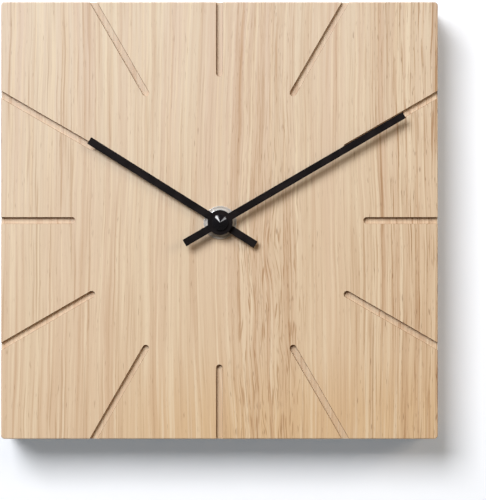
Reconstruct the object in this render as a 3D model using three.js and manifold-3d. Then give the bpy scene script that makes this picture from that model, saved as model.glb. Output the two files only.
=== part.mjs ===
// A square wall clock: a solid oak block with twelve milled hour grooves, two black baton hands
// and a radio-controlled quartz movement in a pocket behind.
//
// Millimetres, +Z up, the face looks along -Y. The origin is the point where the wall hook carries
// the clock, on the wall plane. Inside the clock group the hands turn about x = 0, z = 0, and
// "out" is the distance from the wall, so a point's y is minus its out.
import * as THREE from "three";
import { mergeVertices } from "three/addons/utils/BufferGeometryUtils.js";
import Module from "manifold-3d";

const wasm = await Module();
wasm.setup();

// Oak block
const blockWidth = 200;
const blockHeight = 200;
const blockDepth = 28;
const blockCornerRadius = 1.6;
const blockEdgeEase = 0.8;

// Hour grooves, milled with a round cutter that runs out over the block's sides
const grooveCount = 12;
const grooveWidth = 3;
const grooveDepth = 2;
const grooveInnerReach = 66;

// Battery, a standard AA cell
const batteryDiameter = 14.5;
const batteryLength = 50.5;
const batteryNubDiameter = 5.5;
const batteryNubLength = 1.2;
const batteryShoulderEase = 0.6;

// Battery contacts
const contactThickness = 0.4;
const contactHeight = 10;
const contactWidth = 6;
const contactGap = 0.3;
const springBow = 1.3;

// Movement case: two plastic shells that meet at a joint line
const wallGap = 1.6;
const caseTop = 27.4;
const caseCornerRadius = 4;
const caseWall = 1.2;
const shellJointShare = 0.45;
const shellJointGap = 0.1;
const bayFromHands = 22.15;
const bayWall = 0.9;
const bayRecess = 0.6;
const bayCellClearance = 0.15;
const bayShellClearance = 0.3;
const caseFloorGap = 0.55;
const caseScrewInset = 2.4;
const caseScrewRadius = 0.9;
const caseScrewLength = 8;
const caseScrewHeadRadius = 1.9;
const caseScrewHeadHeight = 0.9;
const caseBossRadius = 2;
const screwClearance = 0.2;

// Fixing through the wood. The hole is drilled wide, so the stem rests low and a little aside in it.
const stemRadius = 4;
const stemStandOut = 1.8;
const stemHoleClearance = 0.3;
const woodHoleClearance = 1.1;
const stemDrop = 0.95;
const stemShift = 0.35;
const washerRadius = 9;
const washerThickness = 1;
const nutFlangeRadius = 7.7;
const nutFlangeThickness = 0.9;
const nutCollarRadius = 6.3;
const nutCollarThickness = 1.2;
const nutNotchCount = 24;
const nutNotchRadius = 0.3;
const nutThreadClearance = 0.12;

// Hanger bracket, folded from sheet steel
const bracketThickness = 0.8;
const bracketWidth = 24;
const bracketBelowStem = 9;
const bracketCaseGap = 0.3;
const bracketWallGap = 2.6;
const slotAboveCase = 3.5;
const slotHeight = 12;
const slotTopRadius = 2.2;
const slotBaseHalfWidth = 6.5;
const slotBaseStep = 1.2;
const slotTopMargin = 4;

// Pocket in the back of the block
const pocketSideClearance = 4;
const pocketTopClearance = 5;
const pocketCornerRadius = 6;

// Hands
const hourHandWidth = 3.5;
const minuteHandWidth = 3.45;
const minuteTipWidth = 3.1;
const handThickness = 0.5;
const handHubRadius = 5.65;
const hourLength = 70.5;
const hourTail = 19.15;
const minuteLength = 97;
const minuteTail = 18.75;
const hourHandAboveFace = 2.8;
const minuteHandAboveFace = 5.5;
const hourRestDegrees = 302.1;
const minuteRestDegrees = 59.75;
const bushWall = 1;
const bushFlangeRadius = 4.4;
const bushFlangeThickness = 0.4;
const bushFit = 0.08;

// Conical cap nut on the minute shaft
const capRadius = 3.7;
const capRimHeight = 0.9;
const capConeHeight = 2.4;
const capTipRadius = 0.2;
const capBoreDepth = 1.6;

// Shafts through the stem, from the outside in
const hourTubeRadius = 2.5;
const hourTubeWall = 0.55;
const minuteShaftRadius = 1.75;
const shaftClearance = 0.2;

// Gear train: all wheels share one module, in four layers behind the front shell
const gearModule = 0.4;
const wheelThickness = 1;
const layerGap = 0.6;
const hourWheelSeat = 2.2;
const addendumShare = 0.8;
const dedendumShare = 1.15;
const toothRootShare = 0.56;
const toothTipShare = 0.2;
const minutePinionTeeth = 15;
const motionTeeth = 45;
const motionPinionTeeth = 12;
const hourTeeth = 48;
const centreTeeth = 48;
const thirdPinionTeeth = 8;
const thirdTeeth = 48;
const drivePinionTeeth = 8;
const driveTeeth = 40;
const rotorPinionTeeth = 8;
const motionBearing = 160;
const thirdBearing = 20;
const driveBearing = 285;
const rotorBearing = 210;
const arborRadius = 0.6;
const pivotRadius = 0.45;
const pivotClearance = 0.15;
const pivotLength = 0.8;
const bossRadius = 1.5;
const studRadius = 0.9;
const studClearance = 0.08;

// Light path through the wheels, by which the movement finds the hands' place
const lightPathReach = 6.6;
const lightPathBearing = 60;
const lightPathRadius = 0.8;
const lampSide = 2;
const lampThickness = 0.7;
const sensorSide = 3;
const sensorThickness = 1.2;

// Step motor
const magnetRadius = 2.6;
const magnetAirGap = 0.4;
const magnetFit = 0.08;
const poleRingWidth = 2;
const poleSlit = 0.8;
const poleArmWidth = 3.2;
const farArmWidth = 2.4;
const farArmRise = 2.4;
const coreThickness = 1;
const coreEndGap = 1;
const coreReach = 6.2;
const bobbinWall = 0.5;
const bobbinClearance = 0.1;
const bobbinFlangeRadius = 3.7;
const bobbinFlangeThickness = 0.8;
const bobbinEndGap = 0.3;
const windingRadius = 3.2;

// Train plate and circuit board
const plateThickness = 1;
const plateMargin = 0.2;
const boardThickness = 1;
const boardStandOff = 1;
const boardMargin = 0.7;
const boardBayGap = 0.6;
const boardBossGap = 0.6;
const postRadius = 1.8;
const postInset = 4.3;
const postGap = 1.9;
const boardScrewRadius = 0.85;
const boardScrewHeadRadius = 1.6;
const boardScrewHeadHeight = 0.8;
const boardScrewBite = 4;
const chipSide = 7;
const chipHeight = 1.1;
const crystalRadius = 1;
const crystalLength = 6;
const capacitorLength = 3.2;
const capacitorWidth = 1.8;
const capacitorHeight = 1.2;
const chipPlaceShares = [0.45, -0.25];
const crystalPlaceShares = [-0.3, -0.3];
const capacitorPlaceShares = [0.05, -0.45];

// Antenna: a ferrite rod in a wound coil
const ferriteRadius = 3.5;
const ferriteEndGap = 1.4;
const antennaCoilRadius = 4.6;
const antennaCoilGap = 5.2;
const antennaCoilFit = 0.15;
const antennaDrop = 6.6;
const antennaFrontGap = 0.6;
const saddleThickness = 1.6;
const saddleInset = 5;

// Push buttons and the switches under them
const buttonNames = ["set", "receive", "reset"];
const buttonPitch = 11;
const buttonHeight = 14;
const buttonRadius = 2.1;
const buttonStandOut = 0.5;
const buttonClearance = 0.15;
const buttonFlangeExtra = 0.8;
const buttonFlangeThickness = 0.4;
const buttonFlangeGap = 0.1;
const buttonTravel = 0.6;
const switchSide = 4.5;
const plungerRadius = 1.1;
const plungerHeight = 0.5;

// Shared by every cut that has to break through a surface, and by joins that have to bite
const cutOverrun = 1;
const fineSides = 36;
const roundSides = 20;
const smallSides = 12;
const cornerSteps = 4;

// Distances out from the wall, in the order that the stack is built up
const caseRear = wallGap;
const batteryOut = caseRear + bayRecess + batteryDiameter / 2;
const caseInnerFront = batteryOut + batteryDiameter / 2 + bayShellClearance;
const caseFront = caseInnerFront + caseWall;
const caseInnerRear = caseRear + caseWall;
const shellJoint = caseRear + (caseFront - caseRear) * shellJointShare;
const bracketFront = caseFront + bracketThickness;
const pocketFloor = bracketFront + washerThickness;
const faceOut = blockDepth;
const nutFlangeTop = faceOut + nutFlangeThickness;
const nutTop = nutFlangeTop + nutCollarThickness;
const stemTop = faceOut + stemStandOut;
const hourHandRear = faceOut + hourHandAboveFace;
const hourHandFront = hourHandRear + handThickness;
const minuteHandRear = faceOut + minuteHandAboveFace;
const minuteHandFront = minuteHandRear + handThickness;
const capRimFront = minuteHandFront + capRimHeight;

// Gear layers, counted back from the inside of the front shell
const hourLayer = caseInnerFront - hourWheelSeat - wheelThickness;
const motionLayer = hourLayer - layerGap - wheelThickness;
const centreLayer = motionLayer - layerGap - wheelThickness;
const thirdLayer = centreLayer - layerGap - wheelThickness;
const bossRear = hourLayer + wheelThickness + layerGap;
const plateFront = thirdLayer - layerGap;
const plateRear = plateFront - plateThickness;
const boardFront = plateRear - boardStandOff;
const boardRear = boardFront - boardThickness;
const poleFront = thirdLayer + wheelThickness;
const coreFront = poleFront + coreThickness;

// Heights and half widths seen from the front, about the hands' axis
const bayInnerHalfLength =
  (batteryLength + 2 * contactThickness + springBow + 2 * contactGap) / 2;
const bayOuterHalfLength = bayInnerHalfLength + bayWall;
const shellInnerHalfWidth = bayOuterHalfLength + bayShellClearance;
const caseHalfWidth = shellInnerHalfWidth + caseWall;
const bayHalfHeight = batteryDiameter / 2 + bayCellClearance;
const batteryHeight = -(bayFromHands + bayWall + bayHalfHeight);
const bayBottom = batteryHeight - bayHalfHeight - bayWall;
const shellInnerBottom = bayBottom - caseFloorGap;
const caseBottom = shellInnerBottom - caseWall;
const shellInnerTop = caseTop - caseWall;
const innerCornerRadius = caseCornerRadius - caseWall;
const antennaHeight = caseTop - antennaDrop;
const antennaOut = caseInnerFront - antennaFrontGap - antennaCoilRadius;
const slotBottom = caseTop + bracketCaseGap + bracketThickness + slotAboveCase;
const slotApex = slotBottom + slotHeight;

const degrees = Math.PI / 180;
const fullTurn = 2 * Math.PI;
const pitchRadius = (teeth) => (teeth * gearModule) / 2;
const meshDistance = (teeth, otherTeeth) => pitchRadius(teeth) + pitchRadius(otherTeeth);
const point = (x, z) => new THREE.Vector2(x, z);

// A point at a distance and bearing from another, with the bearing in degrees from +X towards +Z.
function along(from, distance, bearing) {
  const angle = bearing * degrees;
  return point(from.x + distance * Math.cos(angle), from.y + distance * Math.sin(angle));
}

// Arbors, seen from the front
const centreAxis = point(0, 0);
const blockCentre = point(-stemShift, stemDrop);
const motionAxis = along(centreAxis, meshDistance(minutePinionTeeth, motionTeeth), motionBearing);
const thirdAxis = along(centreAxis, meshDistance(centreTeeth, thirdPinionTeeth), thirdBearing);
const driveAxis = along(thirdAxis, meshDistance(thirdTeeth, drivePinionTeeth), driveBearing);
const rotorAxis = along(driveAxis, meshDistance(driveTeeth, rotorPinionTeeth), rotorBearing);
const lightPath = along(centreAxis, lightPathReach, lightPathBearing);

// Step motor, laid out from its rotor: the ring, an arm on each side of it, and the coil's core
const poleRingRadius = magnetRadius + magnetAirGap + poleRingWidth;
const coreHeight = rotorAxis.y - poleRingRadius + poleArmWidth / 2;
const farArmHeight = rotorAxis.y + farArmRise;
const coreLeft = -shellInnerHalfWidth + coreEndGap;
const coreRight = -coreReach;
const coreOut = poleFront + coreThickness / 2;
const bobbinLeft = coreLeft + poleArmWidth + bobbinEndGap;
const bobbinRight = coreRight - poleArmWidth - bobbinEndGap;

// Screws, antenna and posts
const caseScrewSide = shellInnerHalfWidth - caseScrewInset;
const caseScrewTop = shellInnerTop - caseScrewInset;
const caseScrewLow = -bayFromHands + caseBossRadius + caseFloorGap;
const caseScrewPlaces = [
  point(-caseScrewSide, caseScrewTop),
  point(caseScrewSide, caseScrewTop),
  point(caseScrewSide, caseScrewLow),
  point(-caseScrewSide, caseScrewLow),
];
const ferriteHalfLength = caseScrewSide - caseBossRadius - ferriteEndGap;
const saddleReach = ferriteHalfLength - saddleInset;
const antennaCoilHalfLength = saddleReach - saddleThickness / 2 - antennaCoilGap;
const postSide = shellInnerHalfWidth - postInset;
const postTop = antennaHeight - antennaCoilRadius - postGap - postRadius;
const postBesideArm = farArmHeight + farArmWidth / 2 + postGap + postRadius;
const postAboveBay = -bayFromHands + postGap + postRadius;
const postBesideBoss = caseScrewSide - caseBossRadius - postRadius - boardBossGap;
const postPlaces = [
  point(-postSide, postTop),
  point(postSide, postTop),
  point(postBesideBoss, postAboveBay),
  point(-postSide, postBesideArm),
];

// Materials
const finish = (color, roughness, metalness = 0) =>
  new THREE.MeshStandardMaterial({ color, roughness, metalness });
const oak = finish(0xddc3a6, 0.55);
const blackPaint = finish(0x1a1818, 0.45);
const blackPlastic = finish(0x1d1d1e, 0.5);
const clearPlastic = new THREE.MeshStandardMaterial({
  color: 0xe8ecee,
  roughness: 0.1,
  metalness: 0,
  transparent: true,
  opacity: 0.35,
});
const brass = finish(0xb8964f, 0.35, 1);
const steel = finish(0xb4b6b8, 0.35, 1);
const rubber = finish(0x202020, 0.9);
const whitePlastic = finish(0xe4e2da, 0.45);
const redPlastic = finish(0xa33226, 0.5);
const boardGreen = finish(0x2c6a45, 0.5);
const ferriteGrey = finish(0x3a3a3d, 0.6);
const magnetGrey = finish(0x55565a, 0.5, 1);
const copper = finish(0xb0683c, 0.35, 1);
const cellJacket = finish(0x3d6f8f, 0.4);

// A closed geometry as a solid that can be joined and cut.
function solidOf(geometry) {
  const flat = geometry.index ? geometry.toNonIndexed() : geometry;
  flat.deleteAttribute("normal");
  flat.deleteAttribute("uv");
  const merged = mergeVertices(flat);
  return new wasm.Manifold(
    new wasm.Mesh({
      numProp: 3,
      vertProperties: merged.getAttribute("position").array,
      triVerts: new Uint32Array(merged.index.array),
    }),
  );
}

function geometryOf(solid) {
  const mesh = solid.getMesh();
  const geometry = new THREE.BufferGeometry();
  geometry.setAttribute("position", new THREE.BufferAttribute(mesh.vertProperties, 3));
  geometry.setIndex(new THREE.BufferAttribute(mesh.triVerts, 1));
  geometry.computeVertexNormals();
  return geometry;
}

const join = (first, ...others) =>
  geometryOf(others.reduce((solid, other) => solid.add(solidOf(other)), solidOf(first)));
const cut = (first, ...tools) =>
  geometryOf(tools.reduce((solid, tool) => solid.subtract(solidOf(tool)), solidOf(first)));

// A flat outline in x and z, given thickness from one distance out of the wall to another.
function prism(shape, rear, front) {
  const settings = { depth: front - rear, bevelEnabled: false, curveSegments: cornerSteps };
  const geometry = new THREE.ExtrudeGeometry(shape, settings);
  return geometry.translate(0, 0, rear).rotateX(Math.PI / 2);
}

function outline(points) {
  return new THREE.Shape(points);
}

function rectangle(left, right, bottom, top, radius = 0) {
  if (radius === 0) {
    return outline([point(left, bottom), point(right, bottom), point(right, top), point(left, top)]);
  }
  const quarter = Math.PI / 2;
  const shape = new THREE.Shape();
  shape.absarc(right - radius, bottom + radius, radius, -quarter, 0);
  shape.absarc(right - radius, top - radius, radius, 0, quarter);
  shape.absarc(left + radius, top - radius, radius, quarter, Math.PI);
  shape.absarc(left + radius, bottom + radius, radius, Math.PI, Math.PI + quarter);
  return shape;
}

const slab = (left, right, bottom, top, rear, front, radius) =>
  prism(rectangle(left, right, bottom, top, radius), rear, front);

// A turned piece about the axis of the hands. Its profile holds [radius, out] pairs.
function turned(profile, sides = roundSides) {
  const points = profile.map(([radius, out]) => point(radius, out));
  return new THREE.LatheGeometry(points, sides).rotateX(Math.PI);
}

function rod(radius, rear, front, sides) {
  return turned([[0, rear], [radius, rear], [radius, front], [0, front]], sides);
}

function tube(outer, inner, rear, front, sides) {
  const profile = [[inner, rear], [outer, rear], [outer, front], [inner, front], [inner, rear]];
  return turned(profile, sides);
}

// A rod that lies along x, about y = 0, z = 0.
function crossRod(radius, left, right, sides = roundSides) {
  const geometry = new THREE.CylinderGeometry(radius, radius, right - left, sides);
  return geometry.rotateZ(Math.PI / 2).translate((left + right) / 2, 0, 0);
}

const at = (geometry, place) => geometry.translate(place.x, 0, place.y);
const rodsAt = (places, radius, rear, front, sides) =>
  places.map((place) => at(rod(radius, rear, front, sides), place));

function piece(name, geometry, material, place = centreAxis) {
  const mesh = new THREE.Mesh(geometry, material);
  mesh.name = name;
  mesh.position.set(place.x, 0, place.y);
  return mesh;
}

// The oak block: hour grooves in front, a pocket behind and a hole for the stem.
function oakBody() {
  const shape = rectangle(
    -blockWidth / 2,
    blockWidth / 2,
    -blockHeight / 2,
    blockHeight / 2,
    blockCornerRadius,
  );
  const block = new THREE.ExtrudeGeometry(shape, {
    depth: blockDepth - 2 * blockEdgeEase,
    bevelThickness: blockEdgeEase,
    bevelSize: blockEdgeEase,
    bevelOffset: -blockEdgeEase,
    bevelSegments: 2,
    curveSegments: cornerSteps,
  });
  block.translate(0, 0, blockEdgeEase).rotateX(Math.PI / 2);
  const pocketHalfWidth = caseHalfWidth + pocketSideClearance;
  const pocket = slab(
    -pocketHalfWidth,
    pocketHalfWidth,
    caseBottom - pocketSideClearance,
    slotApex + slotTopMargin + pocketTopClearance,
    -cutOverrun,
    pocketFloor,
    pocketCornerRadius,
  );
  const stemHole = rod(stemRadius + woodHoleClearance, 0, faceOut + cutOverrun, fineSides);
  return cut(block, pocket, stemHole, ...hourGrooves());
}

function hourGrooves() {
  const halfWidth = grooveWidth / 2;
  const beyond = Math.hypot(blockWidth, blockHeight) / 2 + cutOverrun;
  const shape = new THREE.Shape();
  shape.absarc(0, grooveInnerReach + halfWidth, halfWidth, Math.PI, fullTurn);
  shape.lineTo(halfWidth, beyond);
  shape.lineTo(-halfWidth, beyond);
  const grooves = [];
  for (let hour = 0; hour < grooveCount; hour += 1) {
    const groove = prism(shape, faceOut - grooveDepth, faceOut + cutOverrun);
    grooves.push(groove.rotateY((hour * fullTurn) / grooveCount));
  }
  return grooves;
}

// Sheet-steel hanger: a plate clamped under the stem, folded back over the case and up the wall,
// with a slot that narrows towards its top.
function hangerBracket() {
  const half = bracketWidth / 2;
  const foldBottom = caseTop + bracketCaseGap;
  const foldTop = foldBottom + bracketThickness;
  const flangeFront = bracketWallGap + bracketThickness;
  const frontPlate = slab(-half, half, -bracketBelowStem, foldTop, caseFront, bracketFront);
  const fold = slab(-half, half, foldBottom, foldTop, bracketWallGap, bracketFront);
  const flange = slab(-half, half, foldBottom, slotApex + slotTopMargin, bracketWallGap, flangeFront);
  const slotShape = new THREE.Shape();
  slotShape.moveTo(-slotBaseHalfWidth, slotBottom);
  slotShape.lineTo(slotBaseHalfWidth, slotBottom);
  slotShape.lineTo(slotBaseHalfWidth, slotBottom + slotBaseStep);
  slotShape.absarc(0, slotApex - slotTopRadius, slotTopRadius, 0, Math.PI);
  slotShape.lineTo(-slotBaseHalfWidth, slotBottom + slotBaseStep);
  const slot = prism(slotShape, bracketWallGap - cutOverrun, flangeFront + cutOverrun);
  const hole = rod(
    stemRadius + stemHoleClearance,
    caseFront - cutOverrun,
    bracketFront + cutOverrun,
    fineSides,
  );
  return cut(join(frontPlate, fold, flange), slot, hole);
}

function rubberWasher() {
  return tube(washerRadius, stemRadius + stemHoleClearance, bracketFront, pocketFloor, fineSides);
}

// Clear plastic nut that clamps the wood, with small finger notches round its flange.
function clearNut() {
  const bore = stemRadius + nutThreadClearance;
  const body = turned(
    [
      [bore, faceOut],
      [nutFlangeRadius, faceOut],
      [nutFlangeRadius, nutFlangeTop],
      [nutCollarRadius, nutFlangeTop],
      [nutCollarRadius, nutTop],
      [bore, nutTop],
      [bore, faceOut],
    ],
    fineSides,
  );
  const notches = [];
  for (let notch = 0; notch < nutNotchCount; notch += 1) {
    const bearing = (notch * fullTurn) / nutNotchCount / degrees;
    const place = along(centreAxis, nutFlangeRadius, bearing);
    const cutter = rod(nutNotchRadius, faceOut - cutOverrun, nutFlangeTop + cutOverrun, smallSides);
    notches.push(at(cutter, place));
  }
  return cut(body, ...notches);
}

// Front shell of the movement, with the threaded stem, the posts for the train plate, a boss for
// each arbor, the motion wheel's stud, the screw bosses and the saddles of the ferrite rod.
function caseFrontShell() {
  const outer = slab(
    -caseHalfWidth,
    caseHalfWidth,
    caseBottom,
    caseTop,
    shellJoint + shellJointGap,
    caseFront,
    caseCornerRadius,
  );
  const hollow = slab(
    -shellInnerHalfWidth,
    shellInnerHalfWidth,
    shellInnerBottom,
    shellInnerTop,
    shellJoint - cutOverrun,
    caseInnerFront,
    innerCornerRadius,
  );
  const bite = caseInnerFront + caseWall / 2;
  const arborPlaces = [thirdAxis, driveAxis, rotorAxis];
  const stem = rod(stemRadius, bite, stemTop, fineSides);
  const stud = rodsAt([motionAxis], studRadius, motionLayer, bite, smallSides);
  const posts = rodsAt(postPlaces, postRadius, plateFront, bite, smallSides);
  const bosses = rodsAt(arborPlaces, bossRadius, bossRear, bite, smallSides);
  const screwBossRear = caseInnerRear + shellJointGap;
  const screwBosses = rodsAt(caseScrewPlaces, caseBossRadius, screwBossRear, bite, smallSides);
  const solid = join(
    cut(outer, hollow),
    stem,
    ...stud,
    ...posts,
    ...bosses,
    ...screwBosses,
    ...antennaSaddles(bite),
  );
  const bore = rod(
    hourTubeRadius + shaftClearance,
    caseInnerFront - cutOverrun,
    stemTop + cutOverrun,
    fineSides,
  );
  const pivotHoles = rodsAt(
    arborPlaces,
    pivotRadius + pivotClearance,
    bossRear - cutOverrun,
    bossRear + pivotLength + pivotClearance,
    smallSides,
  );
  const boardScrewHoles = rodsAt(
    postPlaces,
    boardScrewRadius + screwClearance,
    plateFront - cutOverrun,
    boardFront + boardScrewBite + screwClearance,
    smallSides,
  );
  const caseScrewHoles = rodsAt(
    caseScrewPlaces,
    caseScrewRadius + screwClearance,
    screwBossRear - cutOverrun,
    caseRear + caseScrewLength + screwClearance,
    smallSides,
  );
  return cut(solid, bore, ...pivotHoles, ...boardScrewHoles, ...caseScrewHoles);
}

// Two saddles that hold the ferrite rod.
function antennaSaddles(front) {
  const half = ferriteRadius + saddleThickness;
  const top = antennaHeight + half;
  return [-saddleReach, saddleReach].map((place) => {
    const left = place - saddleThickness / 2;
    const right = place + saddleThickness / 2;
    const block = slab(left, right, antennaHeight - half, top, antennaOut, front);
    const seat = crossRod(ferriteRadius + antennaCoilFit, left - cutOverrun, right + cutOverrun);
    return cut(block, seat.translate(0, -antennaOut, antennaHeight));
  });
}

// Rear shell, with the open battery bay, the button holes and the screw holes.
function caseRearShell() {
  const outer = slab(
    -caseHalfWidth,
    caseHalfWidth,
    caseBottom,
    caseTop,
    caseRear,
    shellJoint,
    caseCornerRadius,
  );
  const hollow = slab(
    -shellInnerHalfWidth,
    shellInnerHalfWidth,
    shellInnerBottom,
    shellInnerTop,
    caseInnerRear,
    shellJoint + cutOverrun,
    innerCornerRadius,
  );
  const bayFront = caseInnerFront - shellJointGap;
  const bayOuter = slab(
    -bayOuterHalfLength,
    bayOuterHalfLength,
    bayBottom,
    -bayFromHands,
    caseRear,
    bayFront,
    innerCornerRadius,
  );
  const bay = slab(
    -bayInnerHalfLength,
    bayInnerHalfLength,
    batteryHeight - bayHalfHeight,
    batteryHeight + bayHalfHeight,
    caseRear - cutOverrun,
    bayFront + cutOverrun,
  );
  const floorRear = caseRear - cutOverrun;
  const floorFront = caseInnerRear + cutOverrun;
  const buttonHoles = rodsAt(
    buttonPlaces,
    buttonRadius + buttonClearance,
    floorRear,
    floorFront,
    roundSides,
  );
  const screwHoles = rodsAt(
    caseScrewPlaces,
    caseScrewRadius + screwClearance,
    floorRear,
    floorFront,
    smallSides,
  );
  return cut(join(cut(outer, hollow), bayOuter), bay, ...buttonHoles, ...screwHoles);
}

const buttonPlaces = buttonNames.map((name, index) =>
  point((index - (buttonNames.length - 1) / 2) * buttonPitch, buttonHeight),
);

// A screw driven in from the rear: its head lies on the surface at "seat".
function screw(seat, headRadius, headHeight, shankRadius, shankLength) {
  const tip = seat + shankLength;
  const profile = [
    [0, seat - headHeight],
    [headRadius, seat - headHeight],
    [headRadius, seat],
    [shankRadius, seat],
    [shankRadius, tip - shankRadius],
    [0, tip],
  ];
  return turned(profile, smallSides);
}

function caseScrew() {
  return screw(caseRear, caseScrewHeadRadius, caseScrewHeadHeight, caseScrewRadius, caseScrewLength);
}

function boardScrew() {
  return screw(
    boardRear,
    boardScrewHeadRadius,
    boardScrewHeadHeight,
    boardScrewRadius,
    boardThickness + boardScrewBite,
  );
}

// Battery: a can with its raised positive end to the right.
function batteryCell() {
  const radius = batteryDiameter / 2;
  const nub = batteryNubDiameter / 2;
  const shoulder = batteryLength - batteryNubLength;
  const profile = [
    [0, 0],
    [radius - batteryShoulderEase, 0],
    [radius, batteryShoulderEase],
    [radius, shoulder - batteryShoulderEase],
    [radius - batteryShoulderEase, shoulder],
    [nub, shoulder],
    [nub, batteryLength],
    [0, batteryLength],
  ];
  const points = profile.map(([reach, height]) => point(reach, height));
  const upright = new THREE.LatheGeometry(points, roundSides);
  const right = bayInnerHalfLength - contactThickness - contactGap;
  return upright.rotateZ(-Math.PI / 2).translate(right - batteryLength, -batteryOut, batteryHeight);
}

function plusContact() {
  return slab(
    bayInnerHalfLength - contactThickness,
    bayInnerHalfLength,
    batteryHeight - contactHeight / 2,
    batteryHeight + contactHeight / 2,
    batteryOut - contactWidth / 2,
    batteryOut + contactWidth / 2,
  );
}

// Sprung contact against the battery's flat end: a foot on the bay wall and a bowed leaf.
function minusContact() {
  const wall = -bayInnerHalfLength;
  const foot = wall + contactThickness;
  const half = contactHeight / 2;
  const shape = new THREE.Shape();
  shape.moveTo(wall, -half);
  shape.lineTo(foot, -half);
  shape.quadraticCurveTo(foot + 2 * springBow, 0, foot, half);
  shape.lineTo(wall, half);
  const gap = new THREE.Path();
  const gapHalf = half - 2 * contactThickness;
  gap.moveTo(foot, -gapHalf);
  gap.quadraticCurveTo(foot + 2 * (springBow - contactThickness), 0, foot, gapHalf);
  shape.holes.push(gap);
  const leaf = prism(shape, batteryOut - contactWidth / 2, batteryOut + contactWidth / 2);
  return leaf.translate(0, 0, batteryHeight);
}

// Toothed outline about its own centre. Phase turns it, in radians from +X towards +Z.
function gearOutline(teeth, phase = 0) {
  const root = pitchRadius(teeth) - gearModule * dedendumShare;
  const tip = pitchRadius(teeth) + gearModule * addendumShare;
  const corners = [
    [root, -toothRootShare / 2],
    [tip, -toothTipShare / 2],
    [tip, toothTipShare / 2],
    [root, toothRootShare / 2],
  ];
  const points = [];
  for (let tooth = 0; tooth < teeth; tooth += 1) {
    for (const [radius, share] of corners) {
      const angle = phase + ((tooth + share) * fullTurn) / teeth;
      points.push(point(radius * Math.cos(angle), radius * Math.sin(angle)));
    }
  }
  return outline(points);
}

const gear = (teeth, layer, phase) =>
  prism(gearOutline(teeth, phase), layer, layer + wheelThickness);

// Phase of a wheel in mesh with a pinion of phase zero, which lies at a bearing from the wheel.
// A gap of the wheel, half a tooth pitch from its tooth, faces a tooth of the pinion.
function meshedPhase(pinionTeeth, wheelTeeth, bearing) {
  const halfPitch = 1 / 2;
  const line = bearing * degrees;
  const pinionShare = ((line - Math.PI) * pinionTeeth) / fullTurn;
  return line - ((halfPitch - pinionShare) * fullTurn) / wheelTeeth;
}

// Hole for the light path, in a wheel whose own centre is given.
function lightHole(rear, front, centre) {
  const place = point(lightPath.x - centre.x, lightPath.y - centre.y);
  return at(rod(lightPathRadius, rear - cutOverrun, front + cutOverrun, smallSides), place);
}

const pivotRear = plateRear + pivotClearance;
const arborFront = bossRear - pivotClearance;

// Centre wheel, with the minute pinion in front of it and the shaft that carries the minute hand.
function centreWheel() {
  const phase = meshedPhase(thirdPinionTeeth, centreTeeth, thirdBearing);
  const middle = centreLayer + wheelThickness / 2;
  const pinionFront = motionLayer + wheelThickness;
  const shaftTop = minuteHandFront + capBoreDepth - bushFit;
  const solid = join(
    gear(centreTeeth, centreLayer, phase),
    prism(gearOutline(minutePinionTeeth), middle, pinionFront),
    rod(pivotRadius, pivotRear, middle, smallSides),
    rod(minuteShaftRadius, middle, shaftTop, fineSides),
  );
  return cut(solid, lightHole(centreLayer, middle, centreAxis));
}

// Hour wheel, with a collar behind the front shell and the tube that carries the hour hand.
function hourWheel() {
  const phase = meshedPhase(motionPinionTeeth, hourTeeth, motionBearing);
  const middle = hourLayer + wheelThickness / 2;
  const solid = join(
    gear(hourTeeth, hourLayer, phase),
    rod(stemRadius, middle, caseInnerFront - shaftClearance, fineSides),
    rod(hourTubeRadius, middle, hourHandFront, fineSides),
  );
  const bore = rod(
    hourTubeRadius - hourTubeWall,
    hourLayer - cutOverrun,
    hourHandFront + cutOverrun,
    fineSides,
  );
  return cut(solid, bore, lightHole(hourLayer, hourLayer + wheelThickness, centreAxis));
}

// Motion wheel: takes the minute shaft's turn down to the hour wheel's.
function motionWheel() {
  const bearing = motionBearing + Math.PI / degrees;
  const phase = meshedPhase(minutePinionTeeth, motionTeeth, bearing);
  const front = hourLayer + wheelThickness;
  const solid = join(
    gear(motionTeeth, motionLayer, phase),
    prism(gearOutline(motionPinionTeeth), motionLayer + wheelThickness / 2, front),
  );
  const bore = rod(
    studRadius + studClearance,
    motionLayer - cutOverrun,
    front + cutOverrun,
    smallSides,
  );
  return cut(solid, bore);
}

// A wheel and a pinion on one arbor, with a pivot at each end.
function arborWheel(wheelTeeth, wheelLayer, phase, pinionTeeth, pinionLayer) {
  const low = Math.min(wheelLayer, pinionLayer) + wheelThickness / 2;
  return join(
    gear(wheelTeeth, wheelLayer, phase),
    gear(pinionTeeth, pinionLayer),
    rod(arborRadius, low, arborFront, smallSides),
    rod(pivotRadius, pivotRear, bossRear + pivotLength, smallSides),
  );
}

function thirdWheel() {
  const phase = meshedPhase(drivePinionTeeth, thirdTeeth, driveBearing);
  const solid = arborWheel(thirdTeeth, thirdLayer, phase, thirdPinionTeeth, centreLayer);
  return cut(solid, lightHole(thirdLayer, thirdLayer + layerGap, thirdAxis));
}

function driveWheel() {
  const phase = meshedPhase(rotorPinionTeeth, driveTeeth, rotorBearing);
  return arborWheel(driveTeeth, motionLayer, phase, drivePinionTeeth, thirdLayer);
}

function rotorPinion() {
  return join(
    gear(rotorPinionTeeth, motionLayer),
    rod(arborRadius, thirdLayer, arborFront, smallSides),
    rod(pivotRadius, pivotRear, bossRear + pivotLength, smallSides),
  );
}

function rotorMagnet() {
  return tube(magnetRadius, arborRadius + magnetFit, thirdLayer, poleFront, roundSides);
}

// Pole pieces: the two halves of a ring round the magnet, parted by a slit, each with an arm that
// ends under one end of the coil's core.
function poleRing(bottom, top) {
  const ring = tube(poleRingRadius, magnetRadius + magnetAirGap, plateFront, poleFront, fineSides);
  const reach = poleRingRadius + cutOverrun;
  const waste = slab(-reach, reach, bottom, top, plateFront - cutOverrun, poleFront + cutOverrun);
  return at(cut(ring, waste), rotorAxis);
}

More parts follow.
